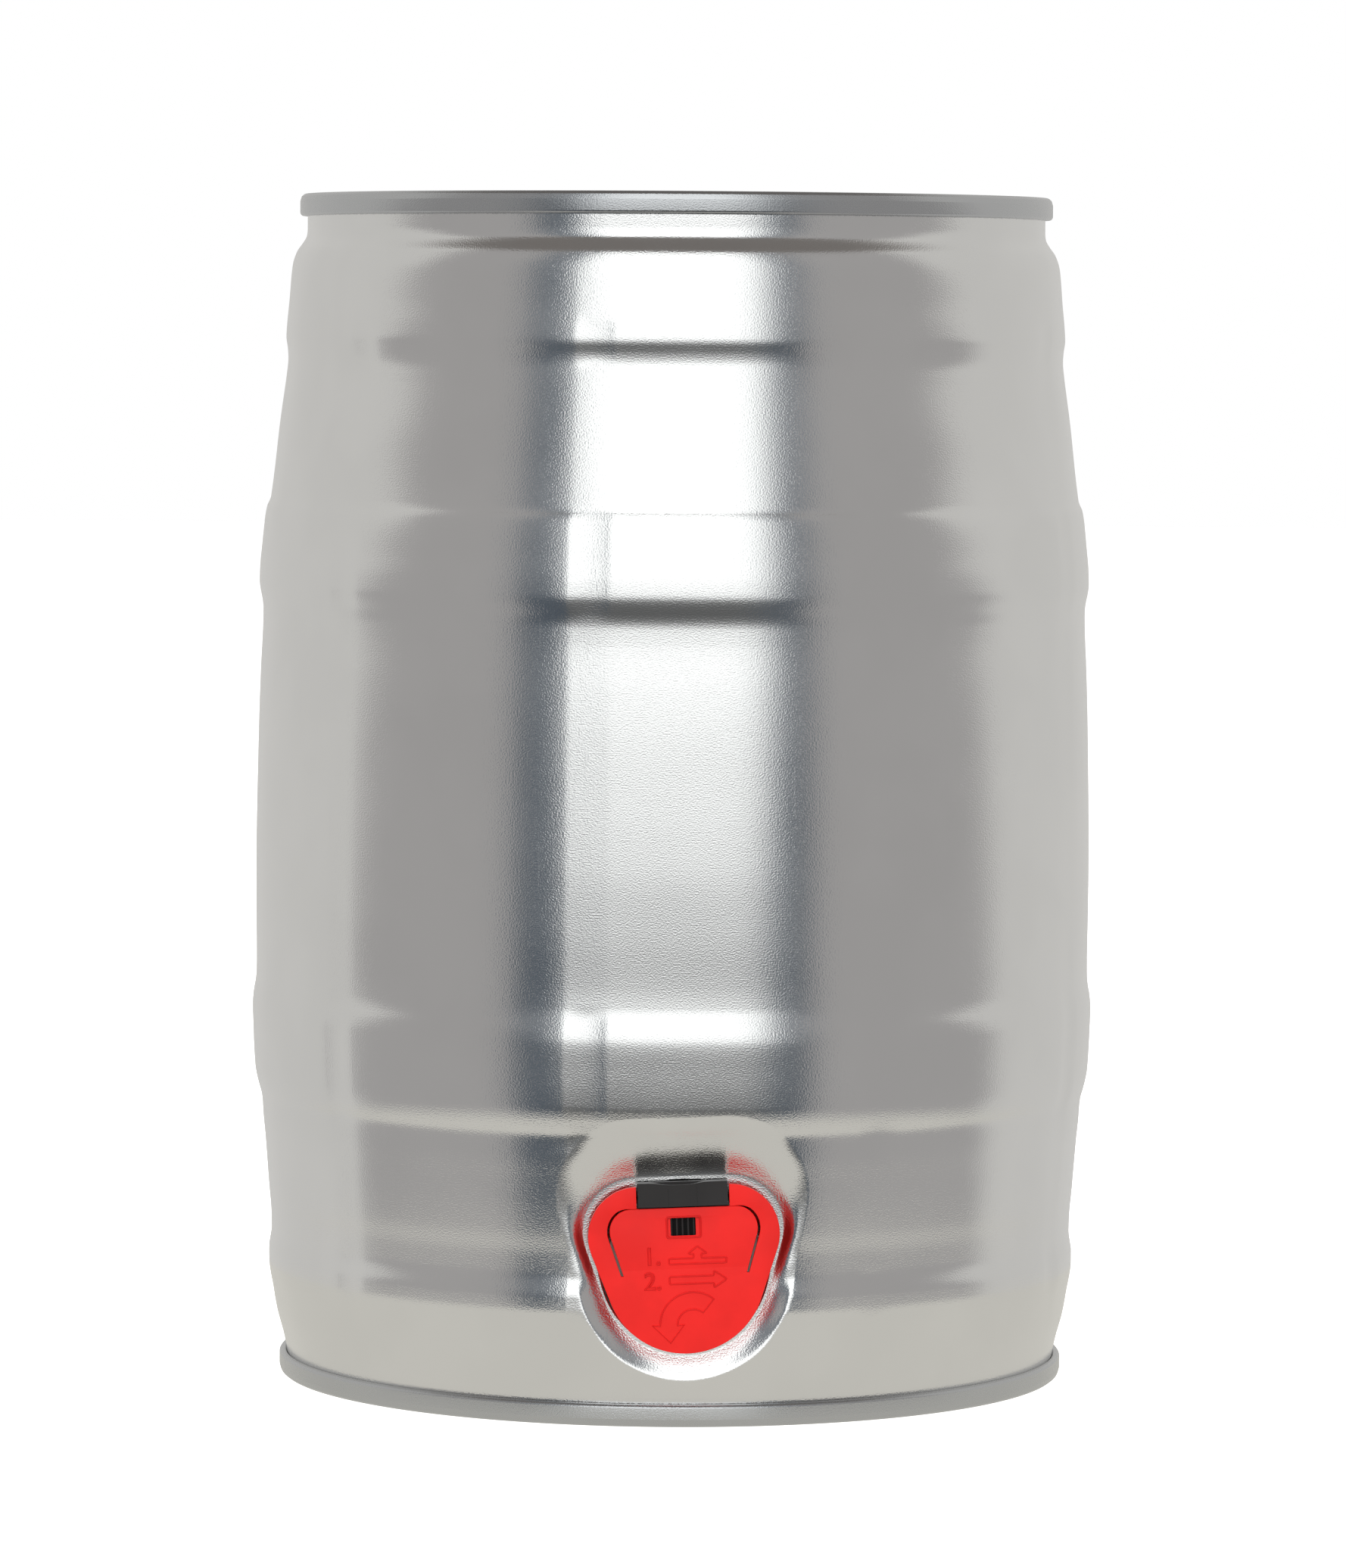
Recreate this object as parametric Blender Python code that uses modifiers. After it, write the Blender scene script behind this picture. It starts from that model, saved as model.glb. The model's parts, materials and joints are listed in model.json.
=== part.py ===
"""Five-litre tinplate party keg with a pull-out tap.

The keg stands on its bottom seam with the origin at the bottom centre, +Z up.
The tap faces -Y.  Lengths below are in millimetres and MM turns them to metres.

The container is a ribbed body with two double-seamed ends.  A vented bung
closes the top end.  The tap sits in a pocket pressed into the body: a fixed
housing, a sleeve that slides out, and a spout that turns in the sleeve and
opens the valve.  The front plate rides on the spout and has a pull flap.
"""
import math

import bmesh
import bpy
from mathutils import Matrix, Vector

MM = 0.001
MERGE = 0.00001

# ---------------------------------------------------------------- dimensions
HEIGHT = 250.0
SHEET = 0.4
END_SHEET = 0.5
GAP = 0.3
KEG_STEPS = 40
TAP_STEPS = 32
RING_STEPS = 24
TOP_WALL_R = 78.0
BOTTOM_WALL_R = 81.7

# Outer side of the barrel between the two seams, as (height, radius).
BARREL = (
    (241.6, 78.0), (240.3, 78.6), (237.8, 80.2), (234.5, 81.2), (226.0, 81.9),
    (220.0, 82.5), (215.0, 82.0), (205.0, 83.2), (187.0, 85.3), (181.5, 86.9),
    (169.5, 88.0), (163.0, 87.2), (140.0, 88.0), (110.0, 88.5), (84.5, 88.4),
    (79.0, 89.2), (67.0, 88.8), (58.0, 87.1), (50.0, 86.4), (31.5, 85.0),
    (27.0, 85.6), (22.0, 85.4), (14.0, 84.0), (6.5, 81.9), (5.2, 81.7),
)

# Double seam, as offsets from the outside of the body wall and from the rim.
SEAM_REACH = 1.6
SEAM_HEIGHT = 4.65
HOOK_TOP = 0.9
HOOK_SHEET = 0.4
HOOK_INNER = 0.35
HOOK_OUTER = 0.75
HOOK_END = 3.8
COMPOUND_INNER = 0.85
COMPOUND_OUTER = 1.0

# Countersunk ends, as depths below the rim.
CHUCK_OFFSET = -0.95
COUNTERSINK_DEPTH = 8.2
OUTER_PANEL_DEPTH = 6.6
INNER_PANEL_DEPTH = 5.8
STEP_OUTER_R = 56.0
STEP_INNER_R = 54.0
BUNG_HOLE_R = 16.5

# Tap: X right, Y up and Z outward from the keg axis in the tap's own frame.
TAP_HEIGHT = 33.0
TAP_ROLL = math.radians(2.2)
FLOOR = 78.0
FLOOR_HOLE_R = 13.3
WELL_R = 17.0
SEAT = 81.0
POCKET_OUT = 90.0
FLAP_HINGE = (0.0, -0.3, 83.9)

# Rounded triangle shared by the front plate and the pocket: two upper circles
# at (+-x, y) and one lower circle at (0, y).
CORNER_X = 9.3
LOWER_Y = -1.4
PLATE_CORNER_Y = 6.5
PLATE_CORNER_R = 10.1
PLATE_LOWER_R = 16.2
PLATE_BACK = 83.5
PLATE_FRONT = 84.8
FLAP_FRONT = 84.3
SKIRT_BACK = 82.0
SKIRT_CORNER_R = 7.9
SKIRT_LOWER_R = 15.9
SKIRT_WALL = 1.0
POCKET_CORNER_Y = 7.2
POCKET_CORNER_R = 11.0
POCKET_LOWER_R = 17.3
# Growth of the pocket for each millimetre outward from its seat.
POCKET_CORNER_SLOPE = 1.8
POCKET_LOWER_SLOPE = 2.3

# Pull flap, its window and the tab notch above it.
FLAP_CORNER = (10.5, 7.6)
FLAP_CORNER_R = 4.5
SLIT_END = (12.45, -1.5)
SLIT = 0.35
HINGE_GAP = 0.15
WINDOW = (-3.45, 6.0, 3.45, 10.2)
TAB = (-9.1, 12.4, 9.1, 17.3)
PAD = (-2.6, 6.4, 2.6, 9.8)

# Housing, sleeve and spout.
HOUSING_R = 13.0
HOUSING_BORE = 11.6
HOUSING_LIP = 10.9
HOUSING_FRONT = 79.7
HOUSING_REAR = 30.0
SLEEVE_R = 10.6
PISTON_R = 11.3
SLEEVE_BORE = 9.3
CHAMBER_R = 10.4
SLEEVE_FRONT = 79.4
SLEEVE_REAR = 33.0
PISTON_FRONT = 47.7
SPOUT_R = 9.0
SPOUT_BORE = 6.6
SPOUT_REAR = 35.7
HEAD_BACK = 79.9
HEAD_FRONT = 83.2
HEAD_R = 10.9
PORT_R = 3.0
PORT_Y = 3.4
PIN_X = 6.2
PIN_Y = -6.2

# Vent in the top end.
VENT_BORE = 6.3
VENT_PLUG_R = 6.0
VENT_PORT_R = 0.9
VENT_PORT_X = 3.5


# ---------------------------------------------------------------- tools
def clear_scene():
    for old in list(bpy.data.objects):
        bpy.data.objects.remove(old, do_unlink=True)


def new_collection(name):
    group = bpy.data.collections.new(name)
    bpy.context.scene.collection.children.link(group)
    return group


def make_material(name, colour, roughness, metallic):
    material = bpy.data.materials.new(name)
    material.use_nodes = True
    shader = material.node_tree.nodes["Principled BSDF"]
    shader.inputs["Base Color"].default_value = (*colour, 1.0)
    shader.inputs["Roughness"].default_value = roughness
    shader.inputs["Metallic"].default_value = metallic
    return material


def add_object(name, mesh, material=None, parent=None, group=None):
    """Link a part, or a hidden cutter when no material is given."""
    item = bpy.data.objects.new(name, mesh)
    (group or PARTS).objects.link(item)
    item.parent = parent
    if material is None:
        item.hide_render = True
        item.display_type = "WIRE"
    else:
        item.data.materials.append(material)
    return item


def mesh_from_bmesh(name, bm):
    bmesh.ops.recalc_face_normals(bm, faces=bm.faces)
    mesh = bpy.data.meshes.new(name)
    bm.to_mesh(mesh)
    bm.free()
    mesh.shade_smooth()
    mesh.set_sharp_from_angle(angle=math.radians(30))
    return mesh


def lathe(name, outline, steps, material=None, parent=None, closed=True, group=None):
    """Turn an outline of (radius, height) points about Z."""
    points = [(r * MM, 0.0, z * MM) for r, z in outline]
    edges = [(i, i + 1) for i in range(len(points) - 1)]
    if closed:
        edges.append((len(points) - 1, 0))
    mesh = bpy.data.meshes.new(name)
    mesh.from_pydata(points, edges, [])
    item = add_object(name, mesh, material, parent, group)
    screw = item.modifiers.new("turn", "SCREW")
    screw.axis = "Z"
    screw.steps = steps
    screw.render_steps = steps
    screw.use_merge_vertices = True
    screw.merge_threshold = MERGE
    return item


def box_mesh(name, low, high):
    bm = bmesh.new()
    bmesh.ops.create_cube(bm, size=1.0)
    size = [(b - a) * MM for a, b in zip(low, high)]
    centre = [(a + b) / 2 * MM for a, b in zip(low, high)]
    bmesh.ops.transform(bm, verts=bm.verts, matrix=Matrix.Diagonal((*size, 1.0)))
    bmesh.ops.translate(bm, verts=bm.verts, vec=centre)
    return mesh_from_bmesh(name, bm)


def rod_mesh(name, radius, x, y, low, high, sides=20):
    bm = bmesh.new()
    bmesh.ops.create_cone(
        bm, cap_ends=True, segments=sides, depth=(high - low) * MM,
        radius1=radius * MM, radius2=radius * MM,
        matrix=Matrix.Translation((x * MM, y * MM, (low + high) / 2 * MM)))
    return mesh_from_bmesh(name, bm)


def cut(item, cutter, operation="DIFFERENCE"):
    modifier = item.modifiers.new(cutter.name, "BOOLEAN")
    modifier.operation = operation
    modifier.solver = "EXACT"
    modifier.object = cutter


def cut_box(item, name, low, high, operation="DIFFERENCE"):
    cutter = add_object(name, box_mesh(name, low, high), parent=item.parent, group=CUTTERS)
    cut(item, cutter, operation)


def cut_rod(item, name, radius, x, y, low, high, operation="DIFFERENCE"):
    mesh = rod_mesh(name, radius, x, y, low, high)
    cutter = add_object(name, mesh, parent=item.parent, group=CUTTERS)
    cut(item, cutter, operation)


def extrude_outline(name, outline, low, high, material=None, parent=None, group=None):
    """Fill a flat outline and give it thickness along Z."""
    curve = bpy.data.curves.new(name, "CURVE")
    curve.dimensions = "2D"
    curve.fill_mode = "BOTH"
    curve.extrude = (high - low) / 2 * MM
    spline = curve.splines.new("POLY")
    spline.points.add(len(outline) - 1)
    for point, (x, y) in zip(spline.points, outline):
        point.co = (x * MM, y * MM, 0.0, 1.0)
    spline.use_cyclic_u = True
    guide = bpy.data.objects.new(name + "_curve", curve)
    bpy.context.scene.collection.objects.link(guide)
    evaluated = guide.evaluated_get(bpy.context.evaluated_depsgraph_get())
    mesh = bpy.data.meshes.new_from_object(evaluated)
    bpy.data.objects.remove(guide, do_unlink=True)
    bm = bmesh.new()
    bm.from_mesh(mesh)
    bpy.data.meshes.remove(mesh)
    bmesh.ops.remove_doubles(bm, verts=bm.verts, dist=MERGE)
    bmesh.ops.translate(bm, verts=bm.verts, vec=(0.0, 0.0, (low + high) / 2 * MM))
    return add_object(name, mesh_from_bmesh(name, bm), material, parent, group)


def torus_profile(ring_r, centre, wire_r, sides=6):
    """Closed circle for an O-ring, running down its outer side."""
    turns = [-2 * math.pi * i / sides + math.pi / sides for i in range(sides)]
    return [(ring_r + wire_r * math.cos(a), centre + wire_r * math.sin(a)) for a in turns]


def offset_line(points, distance):
    """Move a polyline sideways, to the right of its direction, with mitred corners."""
    moved = []
    for i, point in enumerate(points):
        here = Vector(point)
        before = here - Vector(points[i - 1]) if i else None
        after = Vector(points[i + 1]) - here if i + 1 < len(points) else None
        before = (before or after).normalized()
        after = (after or before).normalized()
        normal = Vector((before.y + after.y, -before.x - after.x)).normalized()
        scale = distance / max(normal.dot(Vector((after.y, -after.x))), 0.3)
        moved.append((here.x + normal.x * scale, here.y + normal.y * scale))
    return moved


def arc(centre, radius, start, end, count):
    """Points on a circle from one angle in degrees to another."""
    turns = [math.radians(start + (end - start) * i / count) for i in range(count + 1)]
    return [(centre[0] + radius * math.cos(a), centre[1] + radius * math.sin(a)) for a in turns]


def rounded_triangle(corner_y, corner_r, lower_r, corner_count=8, lower_count=12):
    """Outline round two upper circles and one lower circle, counter-clockwise from the top."""
    across = Vector((CORNER_X, corner_y - LOWER_Y))
    lean = math.degrees(math.atan2(across.y, across.x))
    side = lean - math.degrees(math.acos((lower_r - corner_r) / across.length))
    left = arc((-CORNER_X, corner_y), corner_r, 90, 180 - side, corner_count)
    lower = arc((0.0, LOWER_Y), lower_r, 180 - side, 360 + side, lower_count)
    right = arc((CORNER_X, corner_y), corner_r, side, 90, corner_count)
    return left + lower + right


def pocket_cutter(name, wall):
    """Flared part of the pocket, grown by the wall thickness for its inner side."""
    rings = []
    for level in (SEAT - wall, POCKET_OUT):
        out = level - SEAT
        outline = rounded_triangle(
            POCKET_CORNER_Y,
            POCKET_CORNER_R + POCKET_CORNER_SLOPE * out + wall * 2.6,
            POCKET_LOWER_R + POCKET_LOWER_SLOPE * out + wall * 2.6)
        rings.append([(x * MM, y * MM, level * MM) for x, y in outline])
    bm = bmesh.new()
    lower = [bm.verts.new(p) for p in rings[0]]
    upper = [bm.verts.new(p) for p in rings[1]]
    bm.faces.new(lower)
    bm.faces.new(upper)
    for i, vertex in enumerate(lower):
        after = (i + 1) % len(lower)
        bm.faces.new((vertex, lower[after], upper[after], upper[i]))
    return add_object(name, mesh_from_bmesh(name, bm), parent=TAP_FRAME, group=CUTTERS)


def well_cutter(name, wall):
    """Round well in the pocket's seat, where the tap's socket is fixed."""
    well = rod_mesh(name, WELL_R + wall, 0.0, 0.0, FLOOR - wall, SEAT + 1.0, TAP_STEPS)
    return add_object(name, well, parent=TAP_FRAME, group=CUTTERS)


# ---------------------------------------------------------------- container
def build_body_shell():
    """Ribbed barrel with its pocket, open at both ends, with a hook for each seam."""
    top = HEIGHT - HOOK_TOP
    upper_hook = [
        (0.0, top), (TOP_WALL_R + HOOK_OUTER, top),
        (TOP_WALL_R + HOOK_OUTER, HEIGHT - HOOK_END), (TOP_WALL_R + HOOK_INNER, HEIGHT - HOOK_END),
        (TOP_WALL_R + HOOK_INNER, top - HOOK_SHEET), (TOP_WALL_R, top - HOOK_SHEET)]
    lower_hook = [
        (BOTTOM_WALL_R, HOOK_TOP + HOOK_SHEET), (BOTTOM_WALL_R + HOOK_INNER, HOOK_TOP + HOOK_SHEET),
        (BOTTOM_WALL_R + HOOK_INNER, HOOK_END), (BOTTOM_WALL_R + HOOK_OUTER, HOOK_END),
        (BOTTOM_WALL_R + HOOK_OUTER, HOOK_TOP), (0.0, HOOK_TOP)]
    barrel = [(r, z) for z, r in BARREL]
    shell = lathe("body_shell", upper_hook + barrel + lower_hook, KEG_STEPS, TINPLATE, closed=False)
    cut(shell, pocket_cutter("pocket", 0.0))
    cut(shell, well_cutter("well", 0.0))

    inner = offset_line(barrel, SHEET)
    inner = [(inner[0][0], HEIGHT)] + inner + [(inner[-1][0], 0.0)]
    inside = lathe("keg_inside", [(0.0, HEIGHT)] + inner + [(0.0, 0.0)], KEG_STEPS,
                   closed=False, group=CUTTERS)
    cut(inside, pocket_cutter("pocket_back", SHEET))
    cut(inside, well_cutter("well_back", SHEET))
    cut(shell, inside)

    hole = rod_mesh("floor_hole", FLOOR_HOLE_R, 0.0, 0.0, FLOOR - 6.0, FLOOR + 2.0, TAP_STEPS)
    cut(shell, add_object("floor_hole", hole, parent=TAP_FRAME, group=CUTTERS))


def end_outline(wall_r, hole_r, rim, direction):
    """Cross-section of a countersunk end: seam skirt, chuck wall, countersink and panel."""
    chuck_r = wall_r + CHUCK_OFFSET
    half = END_SHEET / 2
    centre = [
        (wall_r + HOOK_INNER, SEAM_HEIGHT - half), (wall_r + SEAM_REACH - half, SEAM_HEIGHT - half),
        (wall_r + SEAM_REACH - half, half), (chuck_r, half),
        (chuck_r - 0.2, COUNTERSINK_DEPTH), (chuck_r - 3.0, COUNTERSINK_DEPTH),
        (chuck_r - 3.8, OUTER_PANEL_DEPTH), (STEP_OUTER_R, OUTER_PANEL_DEPTH),
        (STEP_INNER_R, INNER_PANEL_DEPTH), (hole_r, INNER_PANEL_DEPTH)]
    near = offset_line(centre, half)
    far = offset_line(centre, -half)
    if hole_r == 0.0:
        near[-1] = (0.0, near[-1][1])
        far[-1] = (0.0, far[-1][1])
    loop = near[::-1] + far if direction > 0 else far[::-1] + near
    return [(r, rim + direction * depth) for r, depth in loop]


def build_ends():
    top = end_outline(TOP_WALL_R, BUNG_HOLE_R, HEIGHT, -1)
    lathe("top_end", top, KEG_STEPS, SEAM_METAL)
    bottom = end_outline(BOTTOM_WALL_R, 0.0, 0.0, 1)
    lathe("bottom_end", bottom, KEG_STEPS, SEAM_METAL, closed=False)
    seams = (("top_seam_compound", TOP_WALL_R, HEIGHT - HOOK_END, HEIGHT - HOOK_TOP),
             ("bottom_seam_compound", BOTTOM_WALL_R, HOOK_TOP, HOOK_END))
    for name, wall_r, low, high in seams:
        inner = wall_r + COMPOUND_INNER
        outer = wall_r + COMPOUND_OUTER
        lathe(name, [(outer, high), (outer, low), (inner, low), (inner, high)],
              KEG_STEPS, COMPOUND)


def build_vent():
    """Rubber bung, vent body and the knob that turns in it."""
    panel_top = HEIGHT - INNER_PANEL_DEPTH + END_SHEET / 2
    panel_under = panel_top - END_SHEET
    neck = BUNG_HOLE_R - GAP
    lathe("bung_seal", [
        (19.4, panel_top + 1.8), (20.0, panel_top + 1.2), (20.0, panel_top + GAP),
        (neck, panel_top + GAP), (neck, panel_under - GAP), (18.0, panel_under - GAP - 0.4),
        (15.2, 236.0), (10.5, 236.0), (10.5, panel_top + 1.8)], TAP_STEPS, RUBBER)
    body = lathe("vent_body", [
        (0.0, 235.0), (VENT_BORE, 235.0), (VENT_BORE, 247.3), (14.5, 247.3), (14.5, 246.6),
        (10.2, 246.6), (10.2, 235.7), (10.9, 235.2), (10.2, 233.0), (0.0, 233.0)],
        TAP_STEPS, BLACK_PLASTIC, closed=False)
    cut_rod(body, "vent_body_port", VENT_PORT_R, VENT_PORT_X, 0.0, 232.0, 236.0)
    knob = lathe("vent_knob", [
        (0.0, 248.6), (11.0, 248.6), (11.5, 248.1), (11.5, 247.6), (VENT_PLUG_R, 247.6),
        (VENT_PLUG_R, 241.6), (5.2, 241.6), (5.2, 240.4), (VENT_PLUG_R, 240.4),
        (VENT_PLUG_R, 235.3), (0.0, 235.3)], TAP_STEPS, RED_PLASTIC, closed=False)
    cut_box(knob, "vent_grip", (-9.5, -1.6, 248.0), (9.5, 1.6, 249.7), "UNION")
    cut_rod(knob, "vent_knob_port", VENT_PORT_R, 0.0, -VENT_PORT_X, 234.0, 250.0)
    lathe("vent_o_ring", torus_profile(5.7, 241.0, 0.4), RING_STEPS, RUBBER)


# ---------------------------------------------------------------- tap
def build_housing():
    """Fixed socket through the pocket floor, with its gasket, lock ring and inlet cap."""
    housing = lathe("tap_housing", [
        (HOUSING_R, HOUSING_FRONT), (HOUSING_R, 79.1), (12.4, 79.1), (12.4, 78.2),
        (HOUSING_R, 78.2), (HOUSING_R, 76.2), (16.8, 76.2), (16.8, 74.6), (HOUSING_R, 74.6),
        (HOUSING_R, HOUSING_REAR), (HOUSING_BORE, HOUSING_REAR), (HOUSING_BORE, FLOOR),
        (HOUSING_LIP, FLOOR), (HOUSING_LIP, HOUSING_FRONT)], TAP_STEPS, WHITE_PLASTIC, TAP_FRAME)
    cut_box(housing, "keyway", (-1.1, 10.0, FLOOR - 1.0), (1.1, 11.5, HOUSING_FRONT + 1.0))
    lathe("housing_gasket", [(16.6, 77.3), (16.6, 76.5), (13.3, 76.5), (13.3, 77.3)],
          TAP_STEPS, RUBBER, TAP_FRAME)
    lathe("housing_lock_ring", [(15.6, 79.0), (15.6, 78.3), (12.7, 78.3), (12.7, 79.0)],
          TAP_STEPS, WHITE_PLASTIC, TAP_FRAME)
    inlet = lathe("inlet_cap", [
        (0.0, 29.6), (HOUSING_R + GAP, 29.6), (HOUSING_R + GAP, 36.0), (14.6, 36.0),
        (14.6, 27.6), (0.0, 27.6)], TAP_STEPS, WHITE_PLASTIC, TAP_FRAME, closed=False)
    for index, x in enumerate((-7.0, -2.4, 2.2, 6.8)):
        half = math.sqrt(11.0 ** 2 - (abs(x) + 1.2) ** 2)
        cut_box(inlet, f"inlet_slot_{index}", (x - 0.75, -half, 27.0), (x + 0.75, half, 30.0))


def build_sleeve():
    """Sleeve that slides in the housing on two O-rings and holds the valve seat."""
    sleeve = lathe("slide_sleeve", [
        (SLEEVE_R, SLEEVE_FRONT), (SLEEVE_R, PISTON_FRONT), (PISTON_R, PISTON_FRONT),
        (PISTON_R, 46.2), (10.2, 46.2), (10.2, 44.4), (PISTON_R, 44.4), (PISTON_R, 41.8),
        (10.2, 41.8), (10.2, 40.0), (PISTON_R, 40.0), (PISTON_R, SLEEVE_REAR),
        (CHAMBER_R, SLEEVE_REAR), (CHAMBER_R, 37.5), (SLEEVE_BORE, 37.5),
        (SLEEVE_BORE, SLEEVE_FRONT)], TAP_STEPS, BLACK_PLASTIC, TAP_FRAME)
    cut_box(sleeve, "sleeve_key", (-0.8, 9.8, PISTON_FRONT - 0.5), (0.8, 11.15, 79.0), "UNION")
    for name, centre in (("sleeve_o_ring_rear", 40.9), ("sleeve_o_ring_front", 45.3)):
        lathe(name, torus_profile(10.9, centre, 0.55), RING_STEPS, RUBBER, TAP_FRAME)
    seat = lathe("valve_seat", [(0.0, 35.4), (10.1, 35.4), (10.1, 33.3), (0.0, 33.3)],
                 TAP_STEPS, RUBBER, TAP_FRAME, closed=False)
    cut_rod(seat, "seat_port", PORT_R, 0.0, -PORT_Y, 32.0, 37.0)


def build_spout():
    """Turning valve tube with its flat outlet, stored with the outlet upward."""
    spout = lathe("spout", [
        (0.0, 81.5), (SPOUT_R, 81.5), (SPOUT_R, 71.6), (8.1, 71.6), (8.1, 70.0), (SPOUT_R, 70.0),
        (SPOUT_R, 51.6), (8.1, 51.6), (8.1, 50.0), (SPOUT_R, 50.0), (SPOUT_R, 37.3),
        (8.3, 37.3), (8.3, 36.3), (SPOUT_R, 36.3), (SPOUT_R, SPOUT_REAR), (0.0, SPOUT_REAR)],
        TAP_STEPS, BLACK_PLASTIC, TAP_FRAME, closed=False)
    left, tab_foot, right, tab_top = TAB
    outline = arc((0.0, 0.0), HEAD_R, 148, 392, 22) + [(right, tab_top), (left, tab_top)]
    head = extrude_outline("spout_head", outline, HEAD_BACK, HEAD_FRONT, parent=TAP_FRAME,
                           group=CUTTERS)
    bevel = box_mesh("spout_bevel", (left - 1.0, -4.0, -4.0), (right + 1.0, 4.0, 0.0))
    slope = add_object("spout_bevel", bevel, parent=TAP_FRAME, group=CUTTERS)
    slope.location = (0.0, 16.2 * MM, 81.1 * MM)
    slope.rotation_euler = (math.radians(40), 0.0, 0.0)
    cut(head, slope)
    cut(head, lathe("spout_seat_gap", [
        (16.6, SEAT + 1.2), (24.0, SEAT + 1.2), (24.0, HEAD_BACK - 1.0), (16.6, HEAD_BACK - 1.0)],
        TAP_STEPS, parent=TAP_FRAME, group=CUTTERS))
    cut(spout, head, "UNION")
    cut_box(spout, "spout_tab", (left, tab_foot, HEAD_FRONT - 0.9), (right, tab_top, 85.0), "UNION")
    cut_box(spout, "spout_pad", (PAD[0], PAD[1], HEAD_FRONT - 0.6), (PAD[2], PAD[3], 84.0), "UNION")
    cut_rod(spout, "spout_bore", SPOUT_BORE, 0.0, 0.0, 37.9, 82.3)
    cut_box(spout, "spout_channel", (left + 0.9, 0.0, 80.7), (right - 0.9, 20.0, 82.3))
    cut_rod(spout, "spout_port", PORT_R, 0.0, PORT_Y, 34.0, 39.0)
    for index, x in enumerate((-PIN_X, PIN_X)):
        cut_rod(spout, f"spout_pin_hole_{index}", 1.4, x, PIN_Y, 80.9, 84.0)
    for name, centre in (("spout_o_ring_rear", 50.8), ("spout_o_ring_front", 70.8)):
        lathe(name, torus_profile(8.67, centre, 0.45), RING_STEPS, RUBBER, TAP_FRAME)
    clip = lathe("spout_circlip", [(10.1, 37.1), (10.1, 36.5), (8.6, 36.5), (8.6, 37.1)],
                 TAP_STEPS, STEEL, TAP_FRAME)
    cut_box(clip, "circlip_gap", (-2.0, 8.0, 36.0), (2.0, 11.0, 38.0))


def slit_line(grow):
    """One side of the right slit, from above the flap's corner down to the slit's end."""
    foot = (SLIT_END[0] + grow, SLIT_END[1])
    run = Vector(foot) - Vector(FLAP_CORNER)
    radius = FLAP_CORNER_R + grow
    side = math.degrees(math.atan2(run.y, run.x) + math.acos(radius / run.length))
    return arc(FLAP_CORNER, radius, 90, side, 7) + [foot]


def side_point(line, y):
    """Point at height y on the straight part of a slit line."""
    upper, foot = Vector(line[-2]), Vector(line[-1])
    return tuple(upper.lerp(foot, (upper.y - y) / (upper.y - foot.y)))


def build_front_plate():
    """Red plate with a notch for the spout tab, and its hinged pull flap."""
    outline = rounded_triangle(PLATE_CORNER_Y, PLATE_CORNER_R, PLATE_LOWER_R)
    notch = TAB[2] + GAP
    inner = slit_line(0.0)
    hinge = Vector(FLAP_HINGE)
    right = [(notch, PLATE_CORNER_Y + PLATE_CORNER_R), (notch, FLAP_CORNER[1] + FLAP_CORNER_R + SLIT)]
    right += slit_line(SLIT)[1:] + [SLIT_END, side_point(inner, hinge.y - HINGE_GAP)]
    left = [(-x, y) for x, y in reversed(right)]
    outer = [(x, y) for x, y in outline if abs(x) > notch or y < 0.0]
    plate = extrude_outline("front_plate", outer + right + left,
                            PLATE_BACK, PLATE_FRONT, RED_PLASTIC, TAP_FRAME)
    skirt = extrude_outline(
        "plate_skirt", rounded_triangle(PLATE_CORNER_Y, SKIRT_CORNER_R, SKIRT_LOWER_R),
        SKIRT_BACK, PLATE_BACK + 0.5, parent=TAP_FRAME, group=CUTTERS)
    cut(skirt, extrude_outline(
        "skirt_inside",
        rounded_triangle(PLATE_CORNER_Y, SKIRT_CORNER_R - SKIRT_WALL, SKIRT_LOWER_R - SKIRT_WALL),
        SKIRT_BACK - 1.0, PLATE_BACK + 1.0, parent=TAP_FRAME, group=CUTTERS))
    cut_box(skirt, "skirt_notch", (-notch, 0.0, SKIRT_BACK - 1.0), (notch, 30.0, PLATE_BACK + 1.0))
    cut(plate, skirt, "UNION")
    for index, x in enumerate((-PIN_X, PIN_X)):
        cut_rod(plate, f"plate_pin_{index}", 1.1, x, PIN_Y, 81.2, PLATE_BACK + 0.5, "UNION")

    half = inner[:-1] + [side_point(inner, hinge.y + HINGE_GAP)]
    outline = half + [(-x, y) for x, y in reversed(half)]
    outline = [(x - hinge.x, y - hinge.y) for x, y in outline]
    flap = extrude_outline("pull_flap", outline, PLATE_BACK - hinge.z, FLAP_FRONT - hinge.z,
                           RED_PLASTIC, TAP_FRAME)
    flap.location = hinge * MM
    low_x, low_y, high_x, high_y = WINDOW
    cut_box(flap, "flap_window", (low_x, low_y, 82.0), (high_x, high_y, 86.0))


clear_scene()
PARTS = new_collection("party_keg")
CUTTERS = new_collection("cutters")
TINPLATE = make_material("tinplate", (0.72, 0.72, 0.71), 0.25, 1.0)
SEAM_METAL = make_material("seam_tinplate", (0.55, 0.56, 0.57), 0.38, 1.0)
STEEL = make_material("spring_steel", (0.5, 0.5, 0.5), 0.3, 1.0)
RED_PLASTIC = make_material("red_plastic", (0.85, 0.03, 0.025), 0.4, 0.0)
BLACK_PLASTIC = make_material("black_plastic", (0.025, 0.023, 0.023), 0.45, 0.0)
WHITE_PLASTIC = make_material("white_plastic", (0.75, 0.74, 0.7), 0.45, 0.0)
RUBBER = make_material("rubber", (0.03, 0.03, 0.03), 0.7, 0.0)
COMPOUND = make_material("seam_compound", (0.35, 0.33, 0.3), 0.8, 0.0)

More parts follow.
